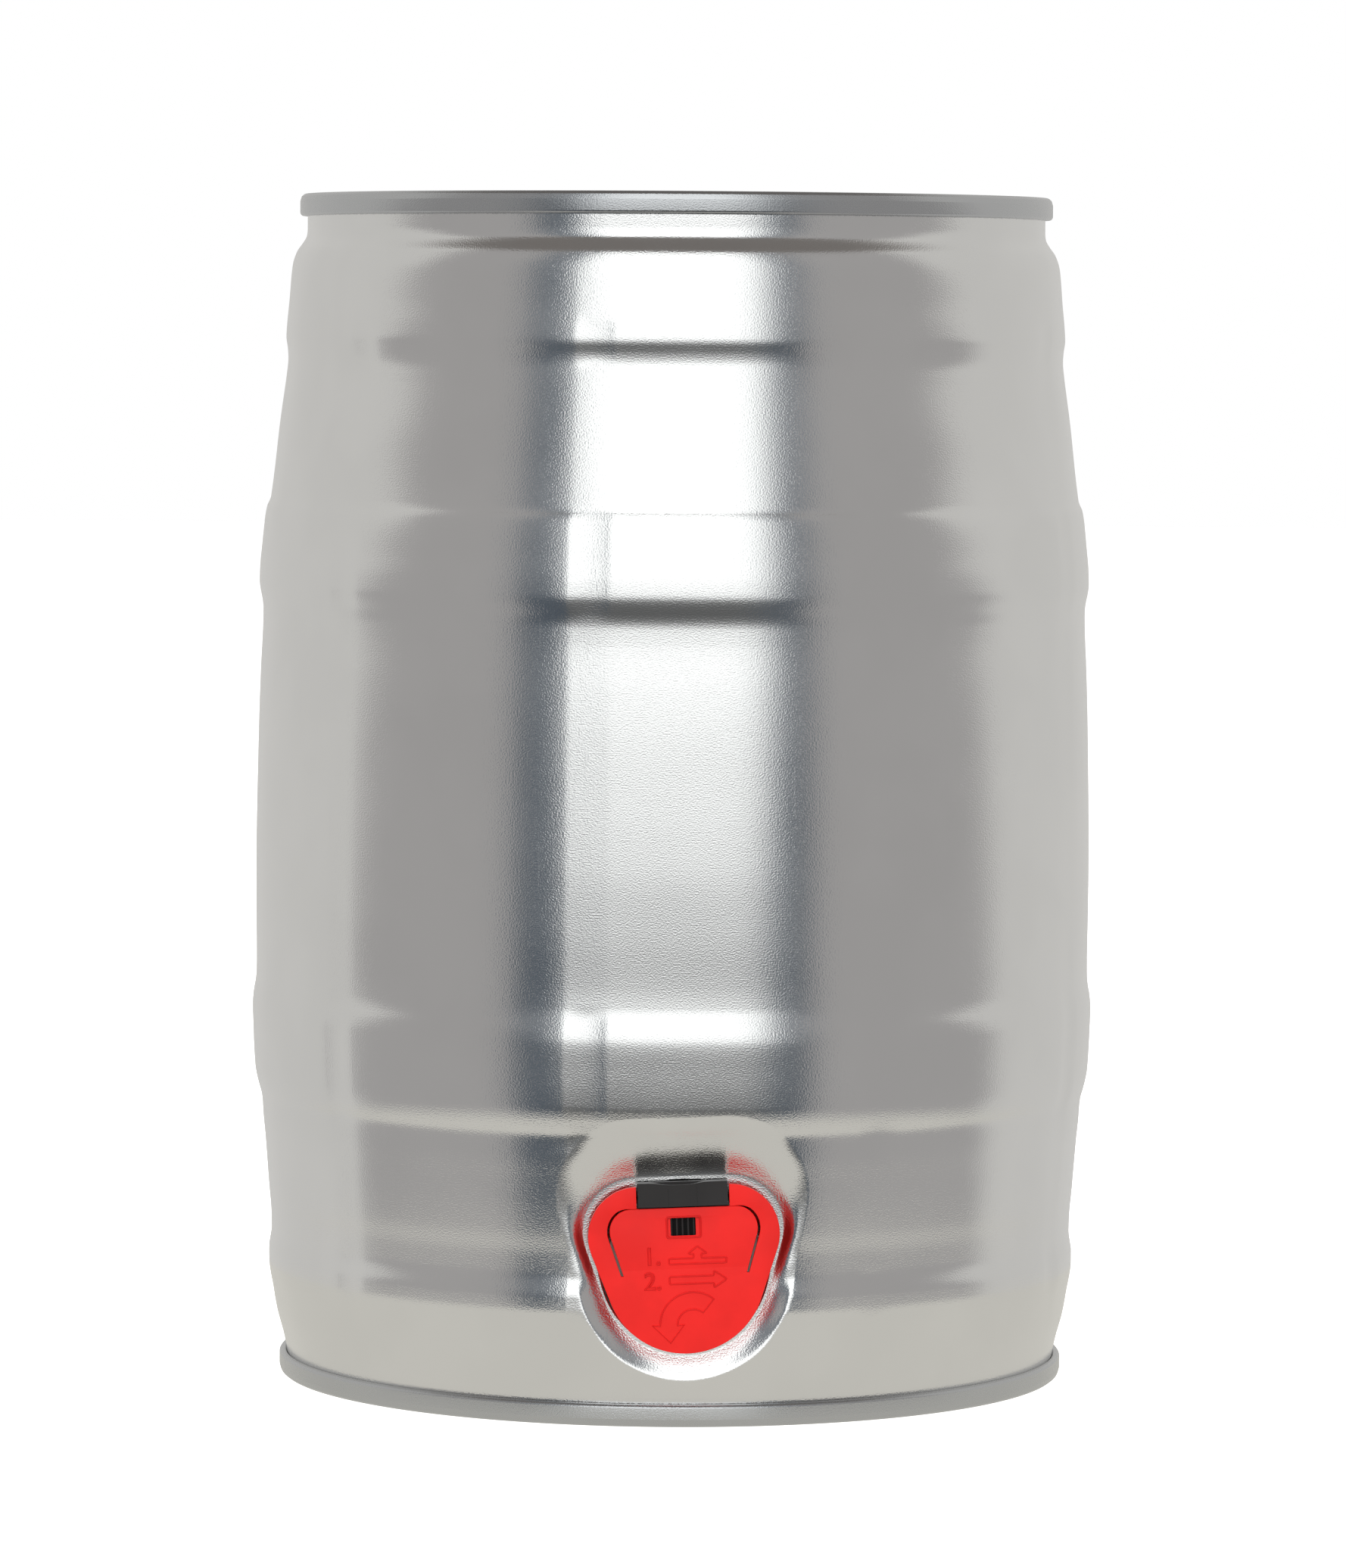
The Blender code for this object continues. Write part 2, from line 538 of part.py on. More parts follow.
TAP_FRAME = bpy.data.objects.new("tap_frame", None)
PARTS.objects.link(TAP_FRAME)
TAP_FRAME.location = (0.0, 0.0, TAP_HEIGHT * MM)
TAP_FRAME.rotation_euler = (math.radians(90), -TAP_ROLL, 0.0)
bpy.context.view_layer.update()

build_body_shell()
build_ends()
build_vent()
build_housing()
build_sleeve()
build_spout()
build_front_plate()
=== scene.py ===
"""Looks of the five-litre tinplate party keg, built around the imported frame.

Lengths are in millimetres in the outlines and MM turns them to metres.  The
tap has its own frame: X right, Y up and Z outward from the keg axis, seen by
a person who faces the tap.
"""
import json
import math

import bmesh
import bpy
import numpy as np
from mathutils import Matrix, Vector


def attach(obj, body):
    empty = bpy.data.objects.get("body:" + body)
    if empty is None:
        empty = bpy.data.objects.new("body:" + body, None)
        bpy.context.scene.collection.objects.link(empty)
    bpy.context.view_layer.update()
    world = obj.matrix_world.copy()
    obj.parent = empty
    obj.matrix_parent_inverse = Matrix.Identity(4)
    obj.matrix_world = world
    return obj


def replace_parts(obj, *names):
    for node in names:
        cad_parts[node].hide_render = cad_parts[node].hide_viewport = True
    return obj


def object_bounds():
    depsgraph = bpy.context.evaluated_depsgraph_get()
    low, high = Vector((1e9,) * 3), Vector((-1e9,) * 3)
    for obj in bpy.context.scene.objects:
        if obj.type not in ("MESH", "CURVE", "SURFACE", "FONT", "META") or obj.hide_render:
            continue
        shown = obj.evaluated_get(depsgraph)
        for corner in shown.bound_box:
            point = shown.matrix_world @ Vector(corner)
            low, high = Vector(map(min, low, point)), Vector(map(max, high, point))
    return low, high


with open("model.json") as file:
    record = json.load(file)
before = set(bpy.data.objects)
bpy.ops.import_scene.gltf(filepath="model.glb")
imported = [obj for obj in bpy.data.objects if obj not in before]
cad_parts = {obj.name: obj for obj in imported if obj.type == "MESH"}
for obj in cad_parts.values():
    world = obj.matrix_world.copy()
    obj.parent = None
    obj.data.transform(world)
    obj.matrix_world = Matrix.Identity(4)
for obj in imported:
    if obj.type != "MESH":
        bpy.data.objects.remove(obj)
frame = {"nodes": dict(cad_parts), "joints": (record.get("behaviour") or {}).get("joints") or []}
cad_low, cad_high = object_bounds()

# ---------------------------------------------------------------- dimensions
MM = 0.001
JOINTS = {joint["name"]: joint for joint in frame["joints"]}
HEIGHT = cad_high.z / MM
TAP_Z = JOINTS["tap_turn"]["pos_m"][2]
TAP_ROLL = math.atan2(JOINTS["flap_lift"]["axis"][2], JOINTS["flap_lift"]["axis"][0])
TAP_MATRIX = (Matrix.Translation((0.0, 0.0, TAP_Z)) @ Matrix.Rotation(-TAP_ROLL, 4, "Y")
              @ Matrix.Rotation(math.radians(90), 4, "X"))

# Outer side of the barrel, as (height, radius).
BARREL = (
    (0.9, 81.7), (5.0, 81.75), (6.2, 82.0), (8.4, 82.5), (13.6, 83.9), (18.8, 84.8),
    (21.4, 85.3), (24.0, 85.6), (26.6, 85.6), (28.6, 85.3), (30.6, 85.05), (34.4, 85.15),
    (39.6, 85.6), (44.8, 86.0), (50.0, 86.4), (55.2, 86.9), (57.8, 87.06), (59.4, 87.25),
    (61.4, 87.8), (63.4, 88.3), (65.6, 88.66), (73.3, 89.05), (78.5, 89.2), (81.2, 89.0),
    (83.4, 88.6), (85.4, 88.42), (88.8, 88.38), (99.2, 88.49), (109.5, 88.52), (119.8, 88.4),
    (130.0, 88.2), (140.4, 87.96), (150.7, 87.6), (159.0, 87.2), (162.5, 87.15), (164.3, 87.3),
    (166.3, 87.7), (168.3, 87.95), (171.2, 87.87), (176.4, 87.4), (181.5, 86.86), (184.3, 86.35),
    (185.8, 85.65), (187.4, 85.4), (191.7, 84.84), (202.0, 83.7), (207.1, 83.0), (212.2, 82.3),
    (215.4, 82.0), (217.3, 82.1), (219.9, 82.44), (222.4, 82.3), (227.6, 81.8), (232.7, 81.4),
    (235.2, 81.1), (237.8, 80.25), (240.0, 78.75), (241.2, 78.15), (242.6, 78.0), (249.1, 78.0))

RIBS = ((22.0, 30.0), (60.0, 84.0), (165.0, 185.0), (215.0, 224.0))

# Marks of the nine-part expanding tool: a flat strip between neighbours.
TOOL_PARTS = 9
TOOL_MARK_AZIMUTH = math.radians(-13.2)
TOOL_MARK_HALF = math.radians(2.9)

# Tap pocket, in the tap's frame.
FLOOR = 78.0
HOLE_R = 13.3
WELL_R = 17.0
SEAT = 81.0
CORNER_X = 9.3
LOWER_Y = -1.4
PLATE_CORNER_Y = 6.5
PLATE_CORNER_R = 10.1
PLATE_LOWER_R = 16.2
PLATE_BACK = 83.5
PLATE_FRONT = 84.8
SKIRT_BACK = 82.0
SKIRT_CORNER_R = 7.9
SKIRT_LOWER_R = 15.9
SKIRT_WALL = 1.0
SEAT_CORNER_Y = 7.2
SEAT_CORNER_R = 11.0
SEAT_LOWER_R = 17.3
MOUTH_CORNER_Y = 14.5
MOUTH_CORNER_R = 16.5
MOUTH_LOWER_R = 22.2
POCKET_RINGS = 32
OUTER_RINGS = 26
CREASE = 0.07

FLAP_CORNER = (10.5, 7.6)
FLAP_CORNER_R = 4.5
SLIT_END = (12.45, -1.5)
SLIT = 0.5
TOP_SLIT = 0.05
HINGE_Y = -0.3
HINGE_LAP = 0.12
FLAP_SINK = 0.5
WINDOW = (-3.45, 6.0, 3.45, 10.2)
TAB = (-9.1, 12.4, 9.1, 17.3)
PAD = (-2.85, 6.3, 2.45, 9.9)
PAD_RIBS = (-2.5, -1.35, -0.2, 0.95, 2.1)

# Part of the barrel round the tap that is meshed in rings, as heights and half its angle.
WINDOW_LOW = 5.4
WINDOW_HIGH = 72.0
WINDOW_HALF = math.radians(24)

# Wrapped sheet, in metres: radius of the grain's cylinder and both edges of the rear weld strip.
WRAP_R = 0.088
WELD_EDGES = (0.2755, 0.2759)

# Camera, with the azimuth and the tilts in degrees and the rest in metres and millimetres.
CAMERA_AZIMUTH = 2.07
CAMERA_DISTANCE = 1.544
CAMERA_HEIGHT = 0.2273
CAMERA_TILT = 3.78
CAMERA_ROLL = 0.365
SENSOR_WIDTH = 36.0
FOCAL_RATIO = 9603.0 / 1778.0

# Studio seen in the metal: where each zone starts and ends, in degrees from the camera.
SOFTBOX_LEFT = (-31.0, -26.5)
SOFTBOX_RIGHT = (20.0, 33.0)
FLAG_EDGE = (41.5, 46.5)
CEILING_EDGE = (42.0, 55.0)


# ---------------------------------------------------------------- outlines
def arc(centre, radius, start, end, count):
    """Points on a circle from one angle in degrees to another."""
    turns = [math.radians(start + (end - start) * i / count) for i in range(count + 1)]
    return [(centre[0] + radius * math.cos(a), centre[1] + radius * math.sin(a)) for a in turns]


def rounded_triangle(corner_y, corner_r, lower_r, count=16):
    """Outline round two upper circles and one lower circle, counter-clockwise from the top."""
    across = Vector((CORNER_X, corner_y - LOWER_Y))
    lean = math.degrees(math.atan2(across.y, across.x))
    side = lean - math.degrees(math.acos((lower_r - corner_r) / across.length))
    left = arc((-CORNER_X, corner_y), corner_r, 90, 180 - side, count)
    lower = arc((0.0, LOWER_Y), lower_r, 180 - side, 360 + side, 2 * count)
    right = arc((CORNER_X, corner_y), corner_r, side, 90, count)
    return left + lower + right


def slit_line(side_gap, top_gap):
    """One side of the right slit, which widens from the flap's top corner down to the slit's end."""
    foot = (SLIT_END[0] + side_gap, SLIT_END[1])
    run = Vector(foot) - Vector(FLAP_CORNER)
    end = math.degrees(math.atan2(run.y, run.x) + math.acos((FLAP_CORNER_R + side_gap) / run.length))
    line = []
    for i in range(15):
        share = i / 14
        turn = math.radians(90 + (end - 90) * share)
        reach = FLAP_CORNER_R + top_gap + (side_gap - top_gap) * min(1.0, share * 3.0)
        line.append((FLAP_CORNER[0] + reach * math.cos(turn), FLAP_CORNER[1] + reach * math.sin(turn)))
    return line + [foot]


def side_point(line, y):
    """Point at height y on the straight part of a slit line."""
    upper, foot = Vector(line[-2]), Vector(line[-1])
    return tuple(upper.lerp(foot, (upper.y - y) / (upper.y - foot.y)))


def smooth_curve(knots, values, at):
    """Monotone cubic through the knots, so that a rib never overshoots."""
    x, y = np.array(knots), np.array(values)
    step, slope = np.diff(x), np.diff(y) / np.diff(x)
    inner = np.where(slope[:-1] * slope[1:] > 0,
                     2 * slope[:-1] * slope[1:] / np.where(slope[:-1] + slope[1:] == 0, 1,
                                                           slope[:-1] + slope[1:]), 0.0)
    tangent = np.concatenate(([slope[0]], inner, [slope[-1]]))
    i = np.clip(np.searchsorted(x, at) - 1, 0, len(step) - 1)
    t = (at - x[i]) / step[i]
    return ((2 * t ** 3 - 3 * t ** 2 + 1) * y[i] + (t ** 3 - 2 * t ** 2 + t) * step[i] * tangent[i]
            + (3 * t ** 2 - 2 * t ** 3) * y[i + 1] + (t ** 3 - t ** 2) * step[i] * tangent[i + 1])


def smoothstep(value, low, high):
    t = np.clip((value - low) / (high - low), 0.0, 1.0)
    return t * t * (3 - 2 * t)


# ---------------------------------------------------------------- materials
class Nodes:
    """Short way to wire a node tree."""

    def __init__(self, tree):
        self.tree = tree

    def add(self, kind, inputs=(), **settings):
        node = self.tree.nodes.new(kind)
        for key, value in settings.items():
            setattr(node, key, value)
        for key, value in dict(inputs).items():
            if isinstance(value, bpy.types.NodeSocket):
                self.tree.links.new(value, node.inputs[key])
            else:
                node.inputs[key].default_value = value
        return node

    def math(self, operation, a, b=0.0, c=0.0):
        return self.add("ShaderNodeMath", {0: a, 1: b, 2: c}, operation=operation).outputs[0]

    def step(self, value, low, high):
        """0 below low, 1 above high, smooth between."""
        node = self.add("ShaderNodeMapRange", {"Value": value, "From Min": low, "From Max": high},
                        interpolation_type="SMOOTHSTEP")
        return node.outputs["Result"]

    def mix(self, factor, a, b):
        node = self.add("ShaderNodeMix", {0: factor, 6: a, 7: b}, data_type="RGBA")
        return node.outputs[2]

    def noise(self, vector, scale, detail=2.0, roughness=0.5):
        node = self.add("ShaderNodeTexNoise", {"Vector": vector, "Scale": scale, "Detail": detail,
                                               "Roughness": roughness})
        return node.outputs["Fac"]


def new_material(name, roughness, metallic):
    material = bpy.data.materials.new(name)
    material.use_nodes = True
    shader = material.node_tree.nodes["Principled BSDF"]
    shader.inputs["Metallic"].default_value = metallic
    shader.inputs["Roughness"].default_value = roughness
    return material, Nodes(material.node_tree), shader


def wrapped_coordinates(nodes):
    """Position round the keg and up it, in metres, so that grain follows the rolled sheet."""
    place = nodes.add("ShaderNodeTexCoord").outputs["Object"]
    split = nodes.add("ShaderNodeSeparateXYZ", {0: place})
    turn = nodes.math("ARCTAN2", split.outputs["X"], nodes.math("MULTIPLY", split.outputs["Y"], -1.0))
    along = nodes.math("MULTIPLY", turn, WRAP_R)
    return place, split, along


def tinplate(name, colour, low_rough, high_rough, grain, welded=False):
    """Rolled tinplate with grain, slow drift in gloss and thin scratches; the barrel has a weld strip."""
    material, nodes, shader = new_material(name, low_rough, 1.0)
    place, split, along = wrapped_coordinates(nodes)
    up = split.outputs["Z"] if welded else nodes.math("ADD", split.outputs["Y"], split.outputs["Z"])
    across = along if welded else split.outputs["X"]
    sheet = nodes.add("ShaderNodeCombineXYZ", {"X": across, "Y": nodes.math("MULTIPLY", up, 1.3)})
    fine = nodes.noise(sheet.outputs[0], 2600.0, 1.0)
    drift = nodes.noise(place, 45.0, 2.0)
    upright = nodes.add("ShaderNodeCombineXYZ", {"X": across, "Y": nodes.math("MULTIPLY", up, 0.02)})
    scratch = nodes.step(nodes.noise(upright.outputs[0], 1400.0, 2.0), 0.66, 0.72)
    mixed = nodes.math("ADD", nodes.math("MULTIPLY", fine, 0.4), nodes.math("MULTIPLY", drift, 0.6))
    rough = nodes.add("ShaderNodeMapRange", {"Value": mixed, "From Min": 0.3, "From Max": 0.7,
                                             "To Min": low_rough, "To Max": high_rough})
    worn = nodes.math("ADD", rough.outputs["Result"], nodes.math("MULTIPLY", scratch, 0.03))
    dim = tuple(c * 0.975 for c in colour)
    tint = nodes.mix(nodes.step(drift, 0.35, 0.65), (*dim, 1.0), (*colour, 1.0))
    if welded:
        weld = nodes.step(nodes.math("ABSOLUTE", along), *WELD_EDGES)
        worn = nodes.math("ADD", worn, nodes.math("MULTIPLY", weld, 0.2))
        tint = nodes.mix(nodes.math("MULTIPLY", weld, 0.5), tint, (0.3, 0.3, 0.3, 1.0))
    nodes.tree.links.new(worn, shader.inputs["Roughness"])
    nodes.tree.links.new(tint, shader.inputs["Base Color"])
    bump = nodes.add("ShaderNodeBump", {"Strength": grain, "Distance": 0.0001, "Height": fine})
    nodes.tree.links.new(bump.outputs["Normal"], shader.inputs["Normal"])
    return material


def plastic(name, colour, roughness, grain_scale=2500.0, grain=0.15, specular=0.5):
    """Moulded plastic: faint colour drift, slightly uneven gloss and a fine spark-eroded grain."""
    material, nodes, shader = new_material(name, roughness, 0.0)
    shader.inputs["Specular IOR Level"].default_value = specular
    place = nodes.add("ShaderNodeTexCoord").outputs["Object"]
    drift = nodes.noise(place, 90.0, 3.0)
    fine = nodes.noise(place, grain_scale, 2.0)
    light = tuple(min(1.0, c * 1.06 + 0.002) for c in colour)
    dark = tuple(c * 0.93 for c in colour)
    tint = nodes.mix(nodes.step(drift, 0.3, 0.7), (*dark, 1.0), (*light, 1.0))
    nodes.tree.links.new(tint, shader.inputs["Base Color"])
    rough = nodes.add("ShaderNodeMapRange", {"Value": drift, "From Min": 0.3, "From Max": 0.7,
                                             "To Min": roughness - 0.05, "To Max": roughness + 0.06})
    nodes.tree.links.new(rough.outputs["Result"], shader.inputs["Roughness"])
    bump = nodes.add("ShaderNodeBump", {"Strength": grain, "Distance": 0.00005, "Height": fine})
    nodes.tree.links.new(bump.outputs["Normal"], shader.inputs["Normal"])
    return material


# ---------------------------------------------------------------- mesh tools
def link(name, mesh, material, body=None, smooth=35.0, matrix=None):
    item = bpy.data.objects.new(name, mesh)
    bpy.context.scene.collection.objects.link(item)
    if material is not None:
        mesh.materials.clear()
        mesh.materials.append(material)
    if matrix is not None:
        mesh.transform(matrix)
    mesh.shade_smooth()
    mesh.set_sharp_from_angle(angle=math.radians(smooth))
    if body:
        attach(item, body)
    return item


def to_mesh(name, bm, recalc=True):
    if recalc:
        bmesh.ops.recalc_face_normals(bm, faces=bm.faces)
    mesh = bpy.data.meshes.new(name)
    bm.to_mesh(mesh)
    bm.free()
    return mesh


def turned_mesh(name, outline, steps=96, closed=True):
    """Turn an outline of (radius, height) points about Z; points on the axis close to a pole."""
    bm = bmesh.new()
    rings = []
    for radius, height in outline:
        if radius < 1e-6:
            rings.append([bm.verts.new((0.0, 0.0, height * MM))] * steps)
            continue
        turns = [2 * math.pi * i / steps for i in range(steps)]
        rings.append([bm.verts.new((radius * math.cos(a) * MM, radius * math.sin(a) * MM, height * MM))
                      for a in turns])
    pairs = list(zip(rings, rings[1:]))
    if closed:
        pairs.append((rings[-1], rings[0]))
    for upper, lower in pairs:
        for i in range(steps):
            j = (i + 1) % steps
            corners = [upper[i], lower[i], lower[j], upper[j]]
            kept = [c for k, c in enumerate(corners) if c is not corners[k - 1]]
            if len(kept) > 2:
                bm.faces.new(kept)
    return to_mesh(name, bm)


def fillet(outline, radius, closed=True, count=4):
    """Round every corner of an outline with a small arc."""
    points = [Vector(p) for p in outline]
    rounded = []
    for i, here in enumerate(points):
        if not closed and i in (0, len(points) - 1):
            rounded.append(tuple(here))
            continue
        before, after = points[i - 1], points[(i + 1) % len(points)]
        back, ahead = before - here, after - here
        turn = back.angle(ahead, math.pi)
        if turn > math.radians(172):
            rounded.append(tuple(here))
            continue
        reach = min(radius / math.tan(turn / 2), back.length * 0.45, ahead.length * 0.45)
        start, end = here + back.normalized() * reach, here + ahead.normalized() * reach
        for k in range(count + 1):
            t = k / count
            rounded.append(tuple(start.lerp(here, t).lerp(here.lerp(end, t), t)))
    return rounded


def mesh_of(data):
    """Mesh made from a curve or a piece of lettering."""
    guide = bpy.data.objects.new(data.name, data)
    bpy.context.scene.collection.objects.link(guide)
    bpy.context.view_layer.update()
    mesh = bpy.data.meshes.new_from_object(guide.evaluated_get(bpy.context.evaluated_depsgraph_get()))
    bpy.data.objects.remove(guide, do_unlink=True)
    return mesh


def plate_mesh(name, outlines, low, high, edge=0.0, resolution=3):
    """Solid plate from closed outlines, the later ones being holes, with rounded edges."""
    curve = bpy.data.curves.new(name, "CURVE")
    curve.dimensions = "2D"
    curve.fill_mode = "BOTH"
    curve.extrude = ((high - low) / 2 - edge) * MM
    curve.bevel_depth = edge * MM
    curve.bevel_resolution = resolution
    curve.offset = -edge * MM
    for outline in outlines:
        spline = curve.splines.new("POLY")
        spline.points.add(len(outline) - 1)
        for point, (x, y) in zip(spline.points, outline):
            point.co = (x * MM, y * MM, 0.0, 1.0)
        spline.use_cyclic_u = True
    mesh = mesh_of(curve)
    bm = bmesh.new()
    bm.from_mesh(mesh)
    bpy.data.meshes.remove(mesh)
    bmesh.ops.remove_doubles(bm, verts=bm.verts, dist=0.000002)
    bmesh.ops.translate(bm, verts=bm.verts, vec=(0.0, 0.0, (low + high) / 2 * MM))
    return to_mesh(name, bm)


def box_mesh(name, low, high):
    bm = bmesh.new()
    bmesh.ops.create_cube(bm, size=1.0)
    size = [(b - a) * MM for a, b in zip(low, high)]
    centre = [(a + b) / 2 * MM for a, b in zip(low, high)]
    bmesh.ops.transform(bm, verts=bm.verts, matrix=Matrix.Diagonal((*size, 1.0)))
    bmesh.ops.translate(bm, verts=bm.verts, vec=centre)
    return to_mesh(name, bm)


def rod_mesh(name, radius, x, y, low, high, sides=40):
    bm = bmesh.new()
    bmesh.ops.create_cone(
        bm, cap_ends=True, segments=sides, depth=(high - low) * MM,
        radius1=radius * MM, radius2=radius * MM,
        matrix=Matrix.Translation((x * MM, y * MM, (low + high) / 2 * MM)))
    return to_mesh(name, bm)


def shape(base, *steps, bevel=0.0, segments=2):
    """Cut and join meshes in turn, then round the sharp edges; returns the final mesh."""
    scene = bpy.context.scene.collection
    body = bpy.data.objects.new("shape", base)
    scene.objects.link(body)
    tools = []
    for operation, tool in steps:
        helper = bpy.data.objects.new("tool", tool)
        scene.objects.link(helper)
        tools.append(helper)
        modifier = body.modifiers.new("cut", "BOOLEAN")
        modifier.operation = operation
        modifier.solver = "EXACT"
        modifier.object = helper
    if bevel:
        modifier = body.modifiers.new("edge", "BEVEL")
        modifier.width = bevel * MM
        modifier.segments = segments
        modifier.limit_method = "ANGLE"
        modifier.angle_limit = math.radians(40)
        modifier.harden_normals = False
    bpy.context.view_layer.update()
    evaluated = body.evaluated_get(bpy.context.evaluated_depsgraph_get())
    mesh = bpy.data.meshes.new_from_object(evaluated)
    for item in [body] + tools:
        bpy.data.objects.remove(item, do_unlink=True)
    return mesh


# ---------------------------------------------------------------- barrel
def polar_radius(outline):
    """Radius of an outline round the tap axis as a function of angle, straight runs kept straight."""
    points = np.array(outline)
    share = np.arange(16)[:, None] / 16
    points = np.concatenate([here + (after - here) * share
                             for here, after in zip(points, np.roll(points, -1, axis=0))])
    angle = np.arctan2(points[:, 1], points[:, 0])
    radius = np.hypot(points[:, 0], points[:, 1])
    order = np.argsort(angle)
    angle, radius = angle[order], radius[order]
    return lambda at: np.interp(at, angle, radius, period=2 * math.pi)


def tool_mark_offset(azimuth, radius):
    """How far a flat strip between two tool parts lies under the round wall."""
    pitch = 2 * math.pi / TOOL_PARTS
    local = (azimuth - TOOL_MARK_AZIMUTH + pitch / 2) % pitch - pitch / 2
    inside = np.clip(np.abs(local) / TOOL_MARK_HALF, 0.0, 1.0) * TOOL_MARK_HALF
    return radius * (1 - np.cos(TOOL_MARK_HALF) / np.cos(inside)) * (np.abs(local) < TOOL_MARK_HALF)


def wall_radius(azimuth, z):
    """Radius of the barrel with the marks of the expanding tool."""
    radius = smooth_curve([p[0] for p in BARREL], [p[1] for p in BARREL], z)
    pressed = smoothstep(z, 6.0, 20.0) * (1 - smoothstep(z, 228.0, 238.0))
    ribs = sum(smoothstep(z, low - 2, low + 2) * (1 - smoothstep(z, high - 2, high + 2))
               for low, high in RIBS)
    strength = 0.3 + 0.6 * (1 - smoothstep(z, 150.0, 175.0)) + 1.5 * ribs
    return radius - tool_mark_offset(azimuth, radius) * pressed * strength


def wall_point(right, up):
    """Keg position of a point on the barrel, straight behind a point of the tap's plane."""
    x = right * math.cos(TAP_ROLL) - up * math.sin(TAP_ROLL)
    z = TAP_Z / MM + right * math.sin(TAP_ROLL) + up * math.cos(TAP_ROLL)
    radius = wall_radius(np.arcsin(x / 86.0), z)
    radius = wall_radius(np.arcsin(x / radius), z)
    return x, np.sqrt(radius ** 2 - x ** 2), z


def pocket_rings(right, up):
    """Rings of (x, y, z) from the socket hole out to the window's edge at (right, up)."""
    angle, reach = np.arctan2(up, right), np.hypot(right, up)
    seat = polar_radius(rounded_triangle(SEAT_CORNER_Y, SEAT_CORNER_R, SEAT_LOWER_R, 40))(angle)
    mouth = polar_radius(rounded_triangle(MOUTH_CORNER_Y, MOUTH_CORNER_R, MOUTH_LOWER_R, 40))(angle)
    below = smoothstep(-np.sin(angle), 0.0, 0.3)
    rings = []

    def add(distance, level):
        x, out, z = wall_point(distance * np.cos(angle), distance * np.sin(angle))
        rings.append((x, -level(out), z))

    for distance, depth in ((HOLE_R, FLOOR), (14.8, FLOOR), (16.5, FLOOR), (16.9, FLOOR + 0.2),
                            (WELL_R, FLOOR + 0.7), (WELL_R, SEAT - 0.4), (17.1, SEAT - 0.1), (17.3, SEAT)):
        add(np.full(angle.shape, distance), lambda out, depth=depth: np.full(out.shape, depth))
    for share in (0.4, 0.8, 1.0):
        add(17.3 + (seat - 17.3) * share, lambda out: np.full(out.shape, SEAT))
    for step in range(1, POCKET_RINGS + 1):
        q = (1 - math.cos(math.pi * step / POCKET_RINGS)) / 2
        steep = 0.315 * q + 0.772 * q * q
        creased = steep - CREASE * math.log(1 + math.exp((steep - 1) / CREASE))
        dished = 0.87 * q * q * (3 - 2 * q) + 0.13 * (1 - (1 - q) ** 2.2)
        rise = (1 - below) * dished + below * creased
        add(seat + (mouth - seat) * q, lambda out, rise=rise: SEAT + (out - SEAT) * rise)
    for step in range(1, OUTER_RINGS):
        share = (step / OUTER_RINGS) ** 1.2
        add(mouth + (reach - mouth) * share, lambda out: out)
    return rings


def rows():
    """Heights of the mesh rows, closer together at the ribs and the tap."""
    bands = ((0.9, WINDOW_LOW, 0.9), (WINDOW_LOW, WINDOW_HIGH, 0.9), (WINDOW_HIGH, 90.0, 0.8),
             (90.0, 158.0, 3.0), (158.0, 190.0, 0.8), (190.0, 210.0, 3.0), (210.0, 226.0, 0.8),
             (226.0, 234.0, 1.3), (234.0, 244.0, 0.5), (244.0, 249.1, 1.3))
    heights = [low + (high - low) * i / round((high - low) / step)
               for low, high, step in bands for i in range(round((high - low) / step))]
    return np.array(heights + [249.1])


def columns():
    """Azimuths of the mesh columns from the tap, closer together round the pocket."""
    near, close, wide = WINDOW_HALF, math.radians(0.5), math.radians(1.2)
    dense = np.linspace(-near, near, round(2 * near / close) + 1)
    rest = np.linspace(near, 2 * math.pi - near, round((2 * math.pi - 2 * near) / wide) + 1)[1:-1]
    return np.concatenate((dense, rest)), len(dense)


def build_barrel(material):
    """Ribbed barrel; a window round the tap is meshed in rings that follow the pocket."""
    heights = rows()
    azimuths, dense = columns()
    z, a = np.meshgrid(heights, azimuths, indexing="ij")
    radius = wall_radius(a, z)
    x, y = radius * np.sin(a), -radius * np.cos(a)
    low = int(np.argmin(np.abs(heights - WINDOW_LOW)))
    high = int(np.argmin(np.abs(heights - WINDOW_HIGH)))
    last = dense - 1

    bm = bmesh.new()
    grid = {}
    for i in range(len(heights)):
        for j in range(len(azimuths)):
            if not (low < i < high and 0 < j < last):
                grid[i, j] = bm.verts.new((x[i, j] * MM, y[i, j] * MM, z[i, j] * MM))
    for i in range(len(heights) - 1):
        for j in range(len(azimuths)):
            k = (j + 1) % len(azimuths)
            if not (low <= i < high and j < last):
                bm.faces.new((grid[i, j], grid[i, k], grid[i + 1, k], grid[i + 1, j]))

    edge = [(low, j) for j in range(last)] + [(i, last) for i in range(low, high)]
    edge += [(high, j) for j in range(last, 0, -1)] + [(i, 0) for i in range(high, low, -1)]
    inverse = np.array(TAP_MATRIX.inverted())
    spots = np.array([(x[key], y[key], z[key], 1 / MM) for key in edge])
    right, up = spots @ inverse[0], spots @ inverse[1]
    rings = [[bm.verts.new((px * MM, py * MM, pz * MM)) for px, py, pz in zip(*ring)]
             for ring in pocket_rings(right, up)]
    rings.append([grid[key] for key in edge])
    count = len(edge)
    for inner, outer in zip(rings, rings[1:]):
        for k in range(count):
            after = (k + 1) % count
            bm.faces.new((inner[k], outer[k], outer[after], inner[after]))
    return link("keg_barrel", to_mesh("keg_barrel", bm, recalc=False), material, "keg", 80)


